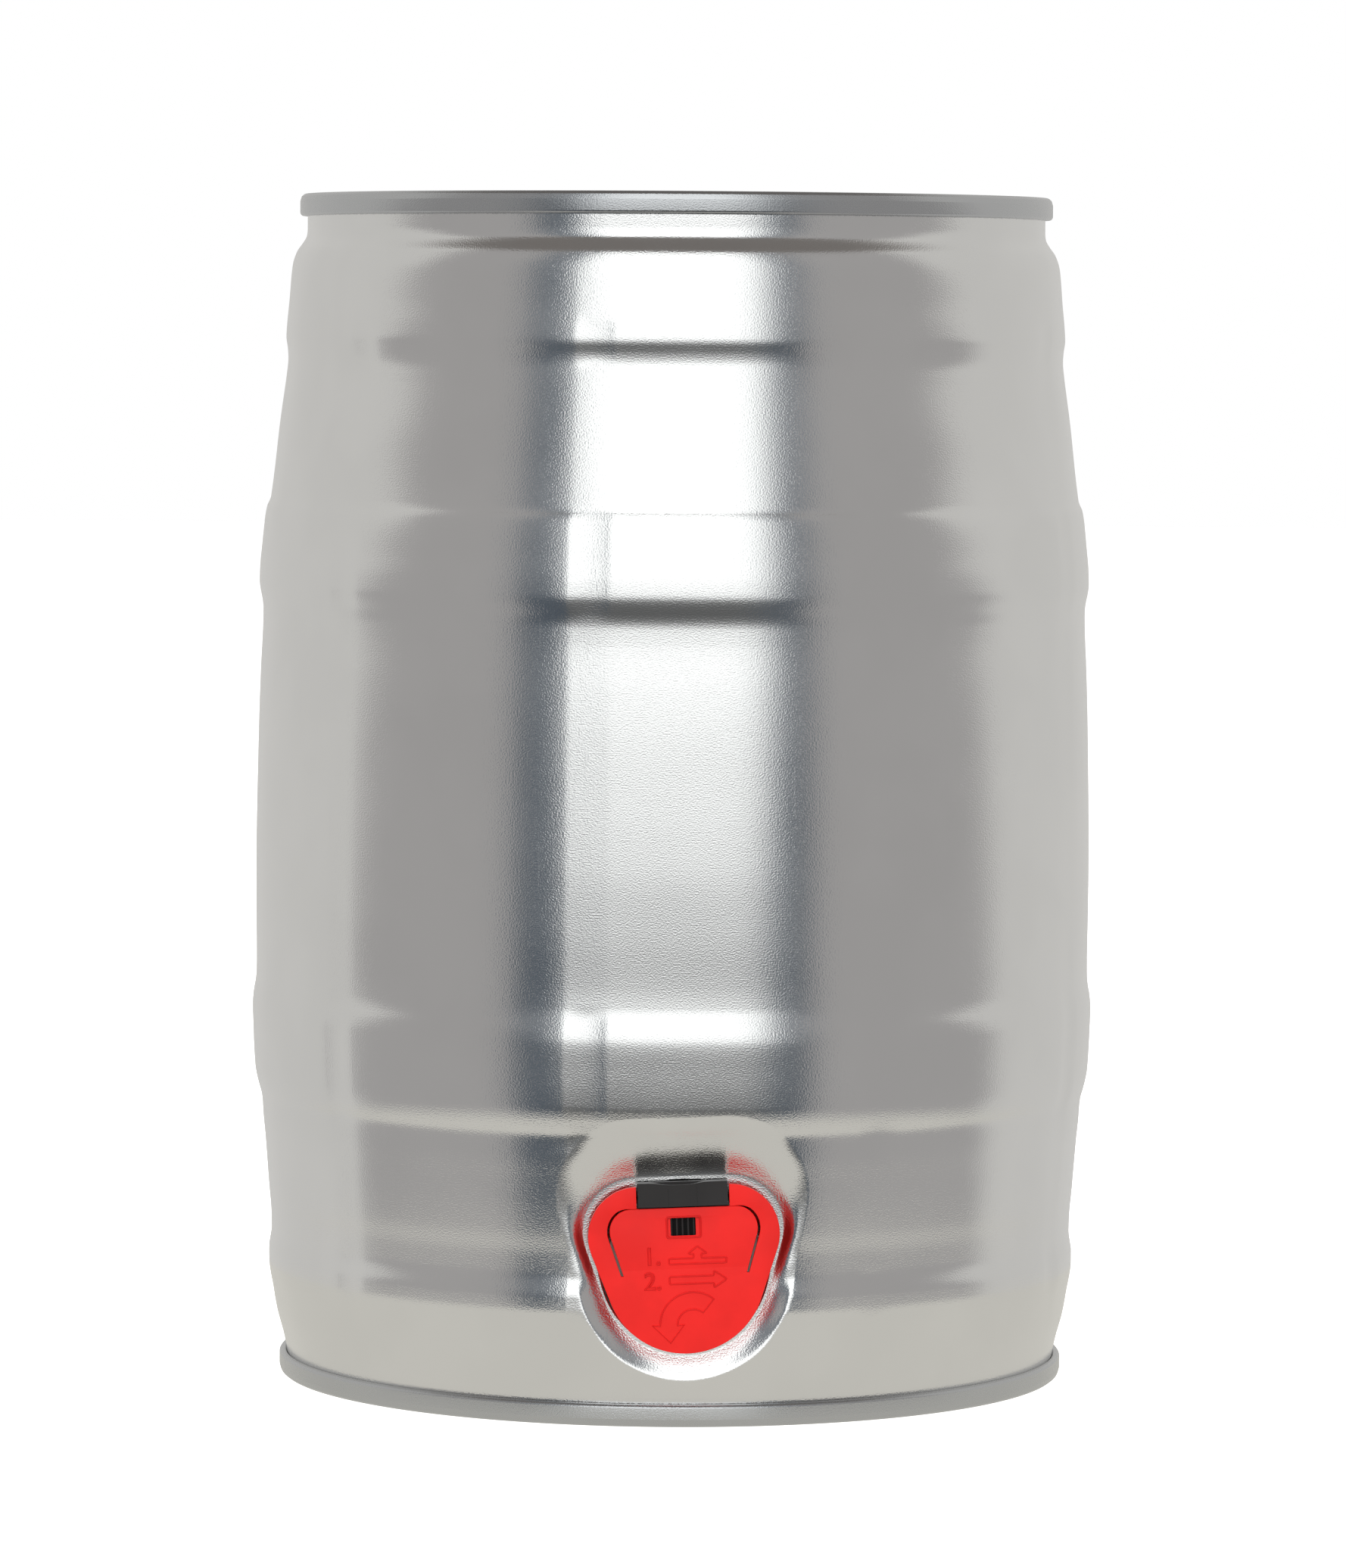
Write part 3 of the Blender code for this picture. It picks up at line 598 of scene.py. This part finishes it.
# ---------------------------------------------------------------- ends
def end_outline(wall_r, hole_r, rim, direction):
    """Section of a countersunk end, with a rounded double seam."""
    chuck = wall_r - 1.2
    outer = [
        (wall_r + 0.1, 4.3), (wall_r + 0.35, 4.65), (wall_r + 1.2, 4.65), (wall_r + 1.6, 4.1),
        (wall_r + 1.6, 1.6), (wall_r + 1.3, 0.55), (wall_r + 0.6, 0.0), (wall_r - 0.5, 0.0),
        (chuck + 0.1, 0.35), (chuck, 1.2), (chuck - 0.15, 7.4), (chuck - 0.8, 8.3), (chuck - 1.9, 8.3),
        (chuck - 2.6, 7.4), (chuck - 3.2, 6.4), (57.0, 6.35), (54.5, 5.55), (44.0, 5.55), (43.0, 5.85),
        (41.5, 5.85), (40.5, 5.55)]
    sheet = 0.35
    if hole_r:
        outer += [(hole_r + 4.0, 5.55), (hole_r, 5.55)]
        inner = [(hole_r, 5.95), (40.4, 5.95), (41.4, 6.25), (43.1, 6.25), (44.1, 5.95), (54.4, 5.95)]
    else:
        outer += [(24.0, 5.55), (23.0, 5.85), (21.5, 5.85), (20.5, 5.55), (0.0, 5.55)]
        inner = [(0.0, 5.95), (20.4, 5.95), (21.4, 6.25), (23.1, 6.25), (24.1, 5.95), (40.4, 5.95),
                 (41.4, 6.25), (43.1, 6.25), (44.1, 5.95), (54.4, 5.95)]
    inner += [(56.9, 6.75), (chuck - 3.4, 6.8), (chuck - 2.9, 7.7), (chuck - 2.0, 8.7),
              (chuck - 0.7, 8.7), (chuck + 0.25, 7.6), (chuck + sheet, 1.2), (wall_r - 0.6, 0.6),
              (wall_r + 1.0, 0.6), (wall_r + 1.15, 1.5), (wall_r + 1.15, 4.2)]
    outer, inner = fillet(outer, 0.6, closed=False), fillet(inner, 0.5, closed=False)
    return [(r, rim + direction * depth) for r, depth in outer + inner]


def build_ends(material):
    top = turned_mesh("keg_top_end", end_outline(78.0, 16.5, HEIGHT, -1), 192)
    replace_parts(link("keg_top_end", top, material, "keg", 50), "top_end")
    bottom = turned_mesh("keg_bottom_end", end_outline(81.7, 0.0, 0.0, 1), 192, closed=False)
    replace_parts(link("keg_bottom_end", bottom, material, "keg", 50), "bottom_end")


# ---------------------------------------------------------------- vent
def build_vent(black, red, rubber):
    bung = fillet([(19.4, 246.2), (20.0, 245.7), (20.0, 244.75), (16.2, 244.75), (16.2, 243.65),
                   (18.0, 243.2), (15.2, 236.0), (10.5, 236.0), (10.5, 246.2)], 0.25)
    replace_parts(link("vent_bung", turned_mesh("vent_bung", bung), rubber, "keg"), "bung_seal")
    body = fillet([(0.0, 235.0), (6.3, 235.0), (6.3, 247.3), (14.5, 247.3), (14.5, 246.6),
                   (10.2, 246.6), (10.2, 235.7), (10.9, 235.2), (10.2, 233.0), (0.0, 233.0)],
                  0.2, closed=False)
    cup = shape(turned_mesh("vent_cup", body, closed=False),
                ("DIFFERENCE", rod_mesh("port", 0.9, 3.5, 0.0, 232.0, 236.0)))
    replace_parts(link("vent_cup", cup, black, "keg"), "vent_body")
    plug = fillet([(0.0, 248.6), (11.0, 248.6), (11.5, 248.1), (11.5, 247.6), (6.0, 247.6),
                   (6.0, 241.6), (5.2, 241.6), (5.2, 240.4), (6.0, 240.4), (6.0, 235.3), (0.0, 235.3)],
                  0.2, closed=False)
    grip = plate_mesh("grip", [arc((8.0, 0.0), 1.6, -90, 90, 12) + arc((-8.0, 0.0), 1.6, 90, 270, 12)],
                      248.0, 249.7, 0.3)
    knob = shape(turned_mesh("vent_dial", plug, closed=False), ("UNION", grip),
                 ("DIFFERENCE", rod_mesh("port", 0.9, 0.0, -3.5, 234.0, 250.0)))
    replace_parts(link("vent_dial", knob, red, "vent"), "vent_knob")


# ---------------------------------------------------------------- tap
def tap_piece(name, mesh, material, body, node, smooth=35.0):
    item = link(name, mesh, material, body, smooth, TAP_MATRIX)
    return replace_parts(item, node) if node else item


def build_housing(white):
    outline = fillet([
        (13.0, 79.7), (13.0, 79.1), (12.4, 79.1), (12.4, 78.2), (13.0, 78.2), (13.0, 76.2), (16.8, 76.2),
        (16.8, 74.6), (13.0, 74.6), (13.0, 30.0), (11.6, 30.0), (11.6, 78.0),
        (10.9, 78.0), (10.9, 79.7)], 0.12)
    socket = shape(turned_mesh("tap_socket", outline),
                   ("DIFFERENCE", box_mesh("keyway", (-1.1, 10.0, 77.0), (1.1, 11.5, 80.7))))
    tap_piece("tap_socket", socket, white, "keg", "tap_housing")
    ring = fillet([(15.6, 79.0), (15.6, 78.3), (12.7, 78.3), (12.7, 79.0)], 0.18)
    tap_piece("tap_lock_ring", turned_mesh("tap_lock_ring", ring), white, "keg",
              "housing_lock_ring")


def build_sleeve(black):
    outline = fillet([
        (10.6, 79.4), (10.6, 47.7), (11.3, 47.7), (11.3, 46.2), (10.2, 46.2), (10.2, 44.4), (11.3, 44.4),
        (11.3, 41.8), (10.2, 41.8), (10.2, 40.0), (11.3, 40.0), (11.3, 33.0), (10.4, 33.0), (10.4, 37.5),
        (9.3, 37.5), (9.3, 79.4)], 0.2)
    tube = shape(turned_mesh("tap_tube", outline),
                 ("UNION", box_mesh("key", (-0.8, 9.8, 47.2), (0.8, 11.15, 79.0))))
    tap_piece("tap_tube", tube, black, "tap_sleeve", "slide_sleeve")


def build_spout(black, dark):
    """Valve tube with its flat outlet; the outlet's lip shows above the flap as a tab."""
    left, foot, right, top = TAB
    stem = fillet([
        (0.0, 81.5), (9.0, 81.5), (9.0, 71.6), (8.1, 71.6), (8.1, 70.0), (9.0, 70.0), (9.0, 51.6),
        (8.1, 51.6), (8.1, 50.0), (9.0, 50.0), (9.0, 37.3), (8.3, 37.3), (8.3, 36.3), (9.0, 36.3),
        (9.0, 35.7), (0.0, 35.7)], 0.08, closed=False)
    outline = arc((0.0, 0.0), 10.9, 148, 392, 60) + [(right, top), (left, top)]
    head = plate_mesh("head", [outline], 79.9, 83.2)
    slope = box_mesh("slope", (left - 1.0, -4.0, -4.0), (right + 1.0, 4.0, 0.0))
    lean = Matrix.Rotation(math.radians(40), 4, "X")
    slope.transform(Matrix.Translation((0.0, 16.2 * MM, 81.1 * MM)) @ lean)
    spots = [left + (right - left) * i / 24 for i in range(25)]
    wave = [(x, top - 0.5 * math.exp(-((x + 0.8) / 4.2) ** 4)) for x in spots]
    lip = plate_mesh("lip", [[(left, foot), (right, foot)] + wave[::-1]], 82.3, 85.0)
    clearance = turned_mesh("clearance", [(16.6, SEAT + 1.2), (24.0, SEAT + 1.2), (24.0, 78.0), (16.6, 78.0)])
    outlet = shape(head, ("DIFFERENCE", slope), ("DIFFERENCE", clearance))
    steps = [("UNION", outlet), ("UNION", lip)]
    steps += [("DIFFERENCE", box_mesh("groove", (x - 0.06, foot - 0.1, 84.93), (x + 0.06, top + 0.1, 85.2)))
              for x in (-2.9, 2.9)]
    steps += [("DIFFERENCE", rod_mesh("bore", 6.6, 0.0, 0.0, 37.9, 82.3)),
              ("DIFFERENCE", box_mesh("channel", (left + 0.9, 0.0, 80.7), (right - 0.9, 20.0, 82.3))),
              ("DIFFERENCE", rod_mesh("port", 3.0, 0.0, 3.4, 34.0, 39.0))]
    steps += [("DIFFERENCE", rod_mesh("pin_hole", 1.4, x, -6.2, 80.9, 84.0)) for x in (-6.2, 6.2)]
    mesh = shape(turned_mesh("tap_outlet", stem, closed=False), *steps, bevel=0.12)
    tap_piece("tap_outlet", mesh, black, "tap_spout", "spout", 30)

    # The pad takes a near-black, barely glossy copy of the black moulding: painted shade of the recess behind
    # the window; its ribs keep the plain black.
    pad = box_mesh("tap_pad", (PAD[0], PAD[1], 83.1), (PAD[2], PAD[3], 83.25))
    tap_piece("tap_pad", pad, dark, "tap_spout", None, 50)
    lying = Matrix.Rotation(math.radians(-90), 4, "X")
    for number, x in enumerate(PAD_RIBS, 1):
        name = f"tap_pad_rib_{number}"
        rib = rod_mesh(name, 0.25, x, -83.2, PAD[1], PAD[3], 20)
        rib.transform(lying)
        tap_piece(name, rib, black, "tap_spout", None, 50)


def window_outline():
    low_x, low_y, high_x, high_y = WINDOW
    return fillet([(low_x, low_y), (high_x, low_y), (high_x, high_y), (low_x, high_y)], 0.5)


def build_plate(red):
    notch = TAB[2] + 0.3
    inner = slit_line(0.0, 0.0)
    right = [(notch, PLATE_CORNER_Y + PLATE_CORNER_R), (notch, FLAP_CORNER[1] + FLAP_CORNER_R + TOP_SLIT)]
    right += slit_line(SLIT, TOP_SLIT) + [SLIT_END, side_point(inner, HINGE_Y + HINGE_LAP)]
    left = [(-x, y) for x, y in reversed(right)]
    outer = [(x, y) for x, y in rounded_triangle(PLATE_CORNER_Y, PLATE_CORNER_R, PLATE_LOWER_R, 24)
             if abs(x) > notch or y < 0.0]
    plate = plate_mesh("tap_plate", [outer + right + left], PLATE_BACK, PLATE_FRONT, HINGE_LAP)
    skirt = plate_mesh("skirt", [
        rounded_triangle(PLATE_CORNER_Y, SKIRT_CORNER_R, SKIRT_LOWER_R, 24),
        rounded_triangle(PLATE_CORNER_Y, SKIRT_CORNER_R - SKIRT_WALL, SKIRT_LOWER_R - SKIRT_WALL, 24)],
        SKIRT_BACK, PLATE_BACK + 0.4)
    gap = box_mesh("gap", (-notch, 0.0, SKIRT_BACK - 1.0), (notch, 30.0, PLATE_BACK + 1.0))
    steps = [("UNION", shape(skirt, ("DIFFERENCE", gap)))]
    steps += [("UNION", rod_mesh("pin", 1.1, x, -6.2, 81.2, PLATE_BACK + 0.4)) for x in (-6.2, 6.2)]
    tap_piece("tap_plate", shape(plate, *steps), red, "tap_spout", "front_plate", 30)

    half = inner[:-1] + [side_point(inner, HINGE_Y - HINGE_LAP)]
    outline = half + [(-x, y) for x, y in reversed(half)]
    ledge = plate_mesh("ledge", [window_outline()], PLATE_FRONT - 0.5, PLATE_FRONT + 1.0)
    hole = fillet([(-2.65, 6.35), (2.45, 6.35), (2.45, 9.95), (-2.65, 9.95)], 0.3)
    flap = plate_mesh("tap_flap", [outline, hole], PLATE_BACK, PLATE_FRONT, HINGE_LAP)
    flap = shape(flap, ("DIFFERENCE", ledge))
    for vertex in flap.vertices:
        share = (vertex.co.y / MM - HINGE_Y) / (FLAP_CORNER[1] + FLAP_CORNER_R - HINGE_Y)
        if vertex.co.z > (PLATE_BACK + 0.5) * MM:
            vertex.co.z -= FLAP_SINK * min(1.0, max(0.0, share) * 1.2) * MM
    tap_piece("tap_flap", flap, red, "flap", "pull_flap", 30)


def flap_face(y):
    """Front of the flap at a height, since it sinks towards its top edge."""
    share = (y - HINGE_Y) / (FLAP_CORNER[1] + FLAP_CORNER_R - HINGE_Y)
    return PLATE_FRONT - FLAP_SINK * min(1.0, max(0.0, share) * 1.2)


def raised_line(name, outlines, material, body):
    """Thin raised outlines on the plate, both the moulded marks and the window's painted shadow line."""
    curve = bpy.data.curves.new(name, "CURVE")
    curve.dimensions = "3D"
    curve.bevel_depth = 0.19 * MM
    curve.bevel_resolution = 2
    for outline in outlines:
        spline = curve.splines.new("POLY")
        spline.points.add(len(outline) - 1)
        for point, (x, y) in zip(spline.points, outline):
            face = flap_face(y) if body == "flap" else PLATE_FRONT
            point.co = (x * MM, y * MM, (face + 0.01) * MM, 1.0)
        spline.use_cyclic_u = True
    return tap_piece(name, mesh_of(curve), material, body, None, 60)


def numeral_outlines(text, size, x, y):
    """Outline of a plain numeral, as closed lists of points."""
    font = bpy.data.curves.new("numeral", "FONT")
    font.body = text
    font.size = size * MM
    font.offset = 0.02 * size * MM
    font.fill_mode = "NONE"
    mesh = mesh_of(font)
    bm = bmesh.new()
    bm.from_mesh(mesh)
    bpy.data.meshes.remove(mesh)
    loops, seen = [], set()
    for start in bm.verts:
        if start in seen or not start.link_edges:
            continue
        loop, here = [], start
        while here is not None and here not in seen:
            seen.add(here)
            loop.append((here.co.x / MM + x, here.co.y / MM + y))
            here = next((e.other_vert(here) for e in here.link_edges if e.other_vert(here) not in seen), None)
        if len(loop) > 2:
            loops.append(loop)
    bm.free()
    return loops


def build_embossing(red):
    """Numerals, a lifting bar, a straight arrow and a turning arrow, and the line round the window; their
    darker red is painted shade, and the window's line is a painted shadow line.
    """
    def lifting_bar(x, y, length, high):
        """Bar with a small arrow head rising from it: lift."""
        middle = x + length / 2
        return [(x, y), (x + length, y), (x + length, y + 1.1), (middle + 0.8, y + 1.1),
                (middle + 0.8, y + high - 1.5), (middle + 2.0, y + high - 1.5), (middle, y + high),
                (middle - 2.0, y + high - 1.5), (middle - 0.8, y + high - 1.5), (middle - 0.8, y + 1.1),
                (x, y + 1.1)]

    def straight_arrow(x, y, length, high):
        half, shaft, head = high / 2, high * 0.22, high * 0.75
        return [(x, y + half - shaft), (x + length - head, y + half - shaft), (x + length - head, y),
                (x + length, y + half), (x + length - head, y + high), (x + length - head, y + half + shaft),
                (x, y + half + shaft)]

    upper = numeral_outlines("1.", 5.0, -8.4, 0.7)
    raised_line("tap_mark_one", upper + [fillet(lifting_bar(-3.2, 0.7, 11.6, 3.5), 0.25)], red, "flap")
    # The line round the window is painted shadow: a darker raised line standing in for the shadow line of the
    # window's shallow recess.
    raised_line("tap_window_painted_shadow_line", [window_outline()], red, "flap")
    lower = numeral_outlines("2.", 5.0, -8.4, -4.35)
    raised_line("tap_mark_two", lower + [fillet(straight_arrow(-3.2, -4.35, 11.6, 3.5), 0.3)], red,
                "tap_spout")
    centre, outer, inner = (1.3, -11.8), 6.7, 3.2
    curve = arc(centre, outer, 50, 180, 26)
    head = [(centre[0] - outer - 1.6, centre[1] + 0.1), (-3.4, -15.3),
            (centre[0] - inner + 1.4, centre[1] + 0.1)]
    raised_line("tap_mark_turn", [curve + head + arc(centre, inner, 180, 50, 18)], red, "tap_spout")


# ---------------------------------------------------------------- stage
def build_stage():
    """Pale floor: a wide white sheet for the eye and a small warm one for the reflections."""
    for name, half, colour, glow, height in (("floor", 6.0, (0.92, 0.92, 0.92), 0.75, -0.0002),
                                             ("floor_glow", 0.2, (0.03, 0.03, 0.03), 0.64, -0.0001)):
        material, nodes, shader = new_material(name, 0.9, 0.0)
        place = nodes.add("ShaderNodeTexCoord").outputs["Object"]
        light = tuple(c * 0.97 for c in colour)
        tint = nodes.mix(nodes.noise(place, 3.0), (*colour, 1.0), (*light, 1.0))
        nodes.tree.links.new(tint, shader.inputs["Base Color"])
        warm = (1.0, 1.0, 1.0, 1.0) if name == "floor" else (1.0, 0.975, 0.9, 1.0)
        shader.inputs["Emission Color"].default_value = warm
        shader.inputs["Emission Strength"].default_value = glow
        shader.inputs["Specular IOR Level"].default_value = 0.0
        bm = bmesh.new()
        bmesh.ops.create_circle(bm, cap_ends=True, segments=96, radius=half)
        bmesh.ops.translate(bm, verts=bm.verts, vec=(0.0, 0.0, height))
        floor = link(name, to_mesh(name, bm), material)
        if name == "floor":
            floor.visible_glossy = False
            floor.visible_diffuse = False
        else:
            floor.visible_camera = False
            floor.visible_shadow = False


def build_world():
    """Studio seen in the metal: a front softbox, dark sides to it and a white room behind."""
    world = bpy.data.worlds.new("studio")
    bpy.context.scene.world = world
    world.use_nodes = True
    nodes = Nodes(world.node_tree)
    world.node_tree.nodes.clear()
    direction = nodes.add("ShaderNodeSeparateXYZ", {0: nodes.add("ShaderNodeTexCoord").outputs["Generated"]})
    x, y, z = (direction.outputs[k] for k in "XYZ")
    turn = nodes.math("ARCTAN2", x, nodes.math("MULTIPLY", y, -1.0))
    azimuth = nodes.math("ADD", nodes.math("MULTIPLY", turn, 180 / math.pi), CAMERA_AZIMUTH)
    elevation = nodes.math("MULTIPLY", nodes.math("ARCSINE", z), 180 / math.pi)
    aside = nodes.math("ABSOLUTE", azimuth)

    edge = nodes.math("SUBTRACT", 93.0, nodes.math("MULTIPLY", elevation, 1.0))
    behind = nodes.math("SUBTRACT", aside, nodes.math("MINIMUM", nodes.math("MAXIMUM", edge, 81.0), 99.0))
    sides = nodes.mix(nodes.step(behind, -2.5, 2.5), (0.41, 0.4, 0.395, 1.0), (0.66, 0.65, 0.63, 1.0))
    lift = nodes.step(elevation, -14.0, 16.0)
    flag = nodes.mix(lift, (0.08, 0.1, 0.125, 1.0), (0.18, 0.2, 0.225, 1.0))
    beside = nodes.math("ADD", aside, nodes.math("MULTIPLY", nodes.step(azimuth, -1.0, 1.0), 6.0))
    flags = nodes.mix(nodes.step(beside, *FLAG_EDGE), flag, sides)
    share = nodes.math("DIVIDE", nodes.math("ADD", elevation, 30.0), 60.0)
    ramp = nodes.add("ShaderNodeValToRGB", {"Fac": share})
    stops = ((-30, 0.12), (-16, 0.16), (-11, 0.32), (-7, 0.5), (-4.5, 0.8), (-2, 1.15), (1, 1.45), (30, 1.6))
    band = ramp.color_ramp
    while len(band.elements) < len(stops):
        band.elements.new(0.5)
    for element, (angle, value) in zip(band.elements, stops):
        element.position = (angle + 30) / 60
        element.color = (value * 0.985, value, value, 1.0)
    left = nodes.step(azimuth, *SOFTBOX_LEFT)
    right = nodes.math("SUBTRACT", 1.0, nodes.step(azimuth, *SOFTBOX_RIGHT))
    front = nodes.mix(nodes.math("MULTIPLY", left, right), flags, ramp.outputs["Color"])
    ceiling = nodes.mix(nodes.step(elevation, *CEILING_EDGE), front, (0.2, 0.185, 0.175, 1.0))
    seen = nodes.add("ShaderNodeLightPath").outputs["Is Camera Ray"]
    colour = nodes.mix(seen, ceiling, (1.0, 1.0, 1.0, 1.0))
    background = nodes.add("ShaderNodeBackground", {"Color": colour, "Strength": 1.0})
    output = nodes.add("ShaderNodeOutputWorld")
    world.node_tree.links.new(background.outputs[0], output.inputs["Surface"])


def add_light(name, place, aim, size, power, glossy):
    light = bpy.data.lights.new(name, "AREA")
    light.shape = "RECTANGLE"
    light.size, light.size_y = size
    light.energy = power
    item = bpy.data.objects.new(name, light)
    bpy.context.scene.collection.objects.link(item)
    item.location = place
    item.rotation_euler = (Vector(aim) - Vector(place)).to_track_quat("-Z", "Y").to_euler()
    item.visible_glossy = glossy


def build_camera():
    """Long lens, slightly above the rim's height and a little to the left of the tap."""
    camera = bpy.data.cameras.new("camera")
    camera.sensor_fit = "HORIZONTAL"
    camera.sensor_width = SENSOR_WIDTH
    camera.lens = SENSOR_WIDTH * FOCAL_RATIO
    item = bpy.data.objects.new("camera", camera)
    bpy.context.scene.collection.objects.link(item)
    turn = Matrix.Rotation(math.radians(-CAMERA_AZIMUTH), 4, "Z")
    place = Matrix.Translation((0.0, -CAMERA_DISTANCE, CAMERA_HEIGHT))
    tilt = Matrix.Rotation(math.radians(90.0 - CAMERA_TILT), 4, "X")
    roll = Matrix.Rotation(math.radians(CAMERA_ROLL), 4, "Z")
    item.matrix_world = turn @ place @ tilt @ roll
    bpy.context.scene.camera = item


bright = tinplate("bright_tinplate", (0.77, 0.77, 0.765), 0.14, 0.19, 0.3, welded=True)
satin = tinplate("satin_tinplate", (0.52, 0.53, 0.54), 0.22, 0.32, 0.3)
red = plastic("red_moulding", (0.9, 0.014, 0.011), 0.45, specular=0.32)
black = plastic("black_moulding", (0.02, 0.018, 0.018), 0.42, specular=0.35)
white = plastic("white_moulding", (0.74, 0.73, 0.69), 0.42)
rubber = plastic("rubber", (0.032, 0.032, 0.033), 0.66, 1200.0, 0.3, 0.35)
compound = plastic("sealing_compound", (0.34, 0.32, 0.29), 0.75, 900.0, 0.3, 0.3)
spring = tinplate("spring_steel", (0.5, 0.5, 0.5), 0.25, 0.35, 0.2)

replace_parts(build_barrel(bright), "body_shell")
build_ends(satin)
build_vent(black, red, rubber)
build_housing(white)
build_sleeve(black)
# The pad's material is a darker, duller copy of the black moulding: painted shade.
build_spout(black, plastic("black_pad_painted_shade", (0.003, 0.003, 0.003), 0.5, specular=0.1))
build_plate(red)
# The marks' outlines are real moulded relief; their darker red than the plate is painted shade of that
# relief.
build_embossing(plastic("red_moulding_painted_shade_line", (0.74, 0.008, 0.007), 0.45, specular=0.3))

KEPT = {
    "top_seam_compound": compound, "bottom_seam_compound": compound, "vent_o_ring": rubber,
    "housing_gasket": rubber, "inlet_cap": white, "sleeve_o_ring_rear": rubber,
    "sleeve_o_ring_front": rubber, "valve_seat": rubber, "spout_o_ring_rear": rubber,
    "spout_o_ring_front": rubber, "spout_circlip": spring}
for node, material in KEPT.items():
    part = frame["nodes"][node]
    part.data.materials.clear()
    part.data.materials.append(material)

build_stage()
build_world()
build_camera()
add_light("overhead", (0.0, 0.3, 1.8), (0.0, 0.0, 0.0), (2.4, 2.4), 34.0, False)
add_light("key", (-0.35, -1.9, 0.85), (0.0, 0.0, 0.1), (1.0, 0.8), 12.0, False)
bpy.context.scene.view_settings.view_transform = "Standard"
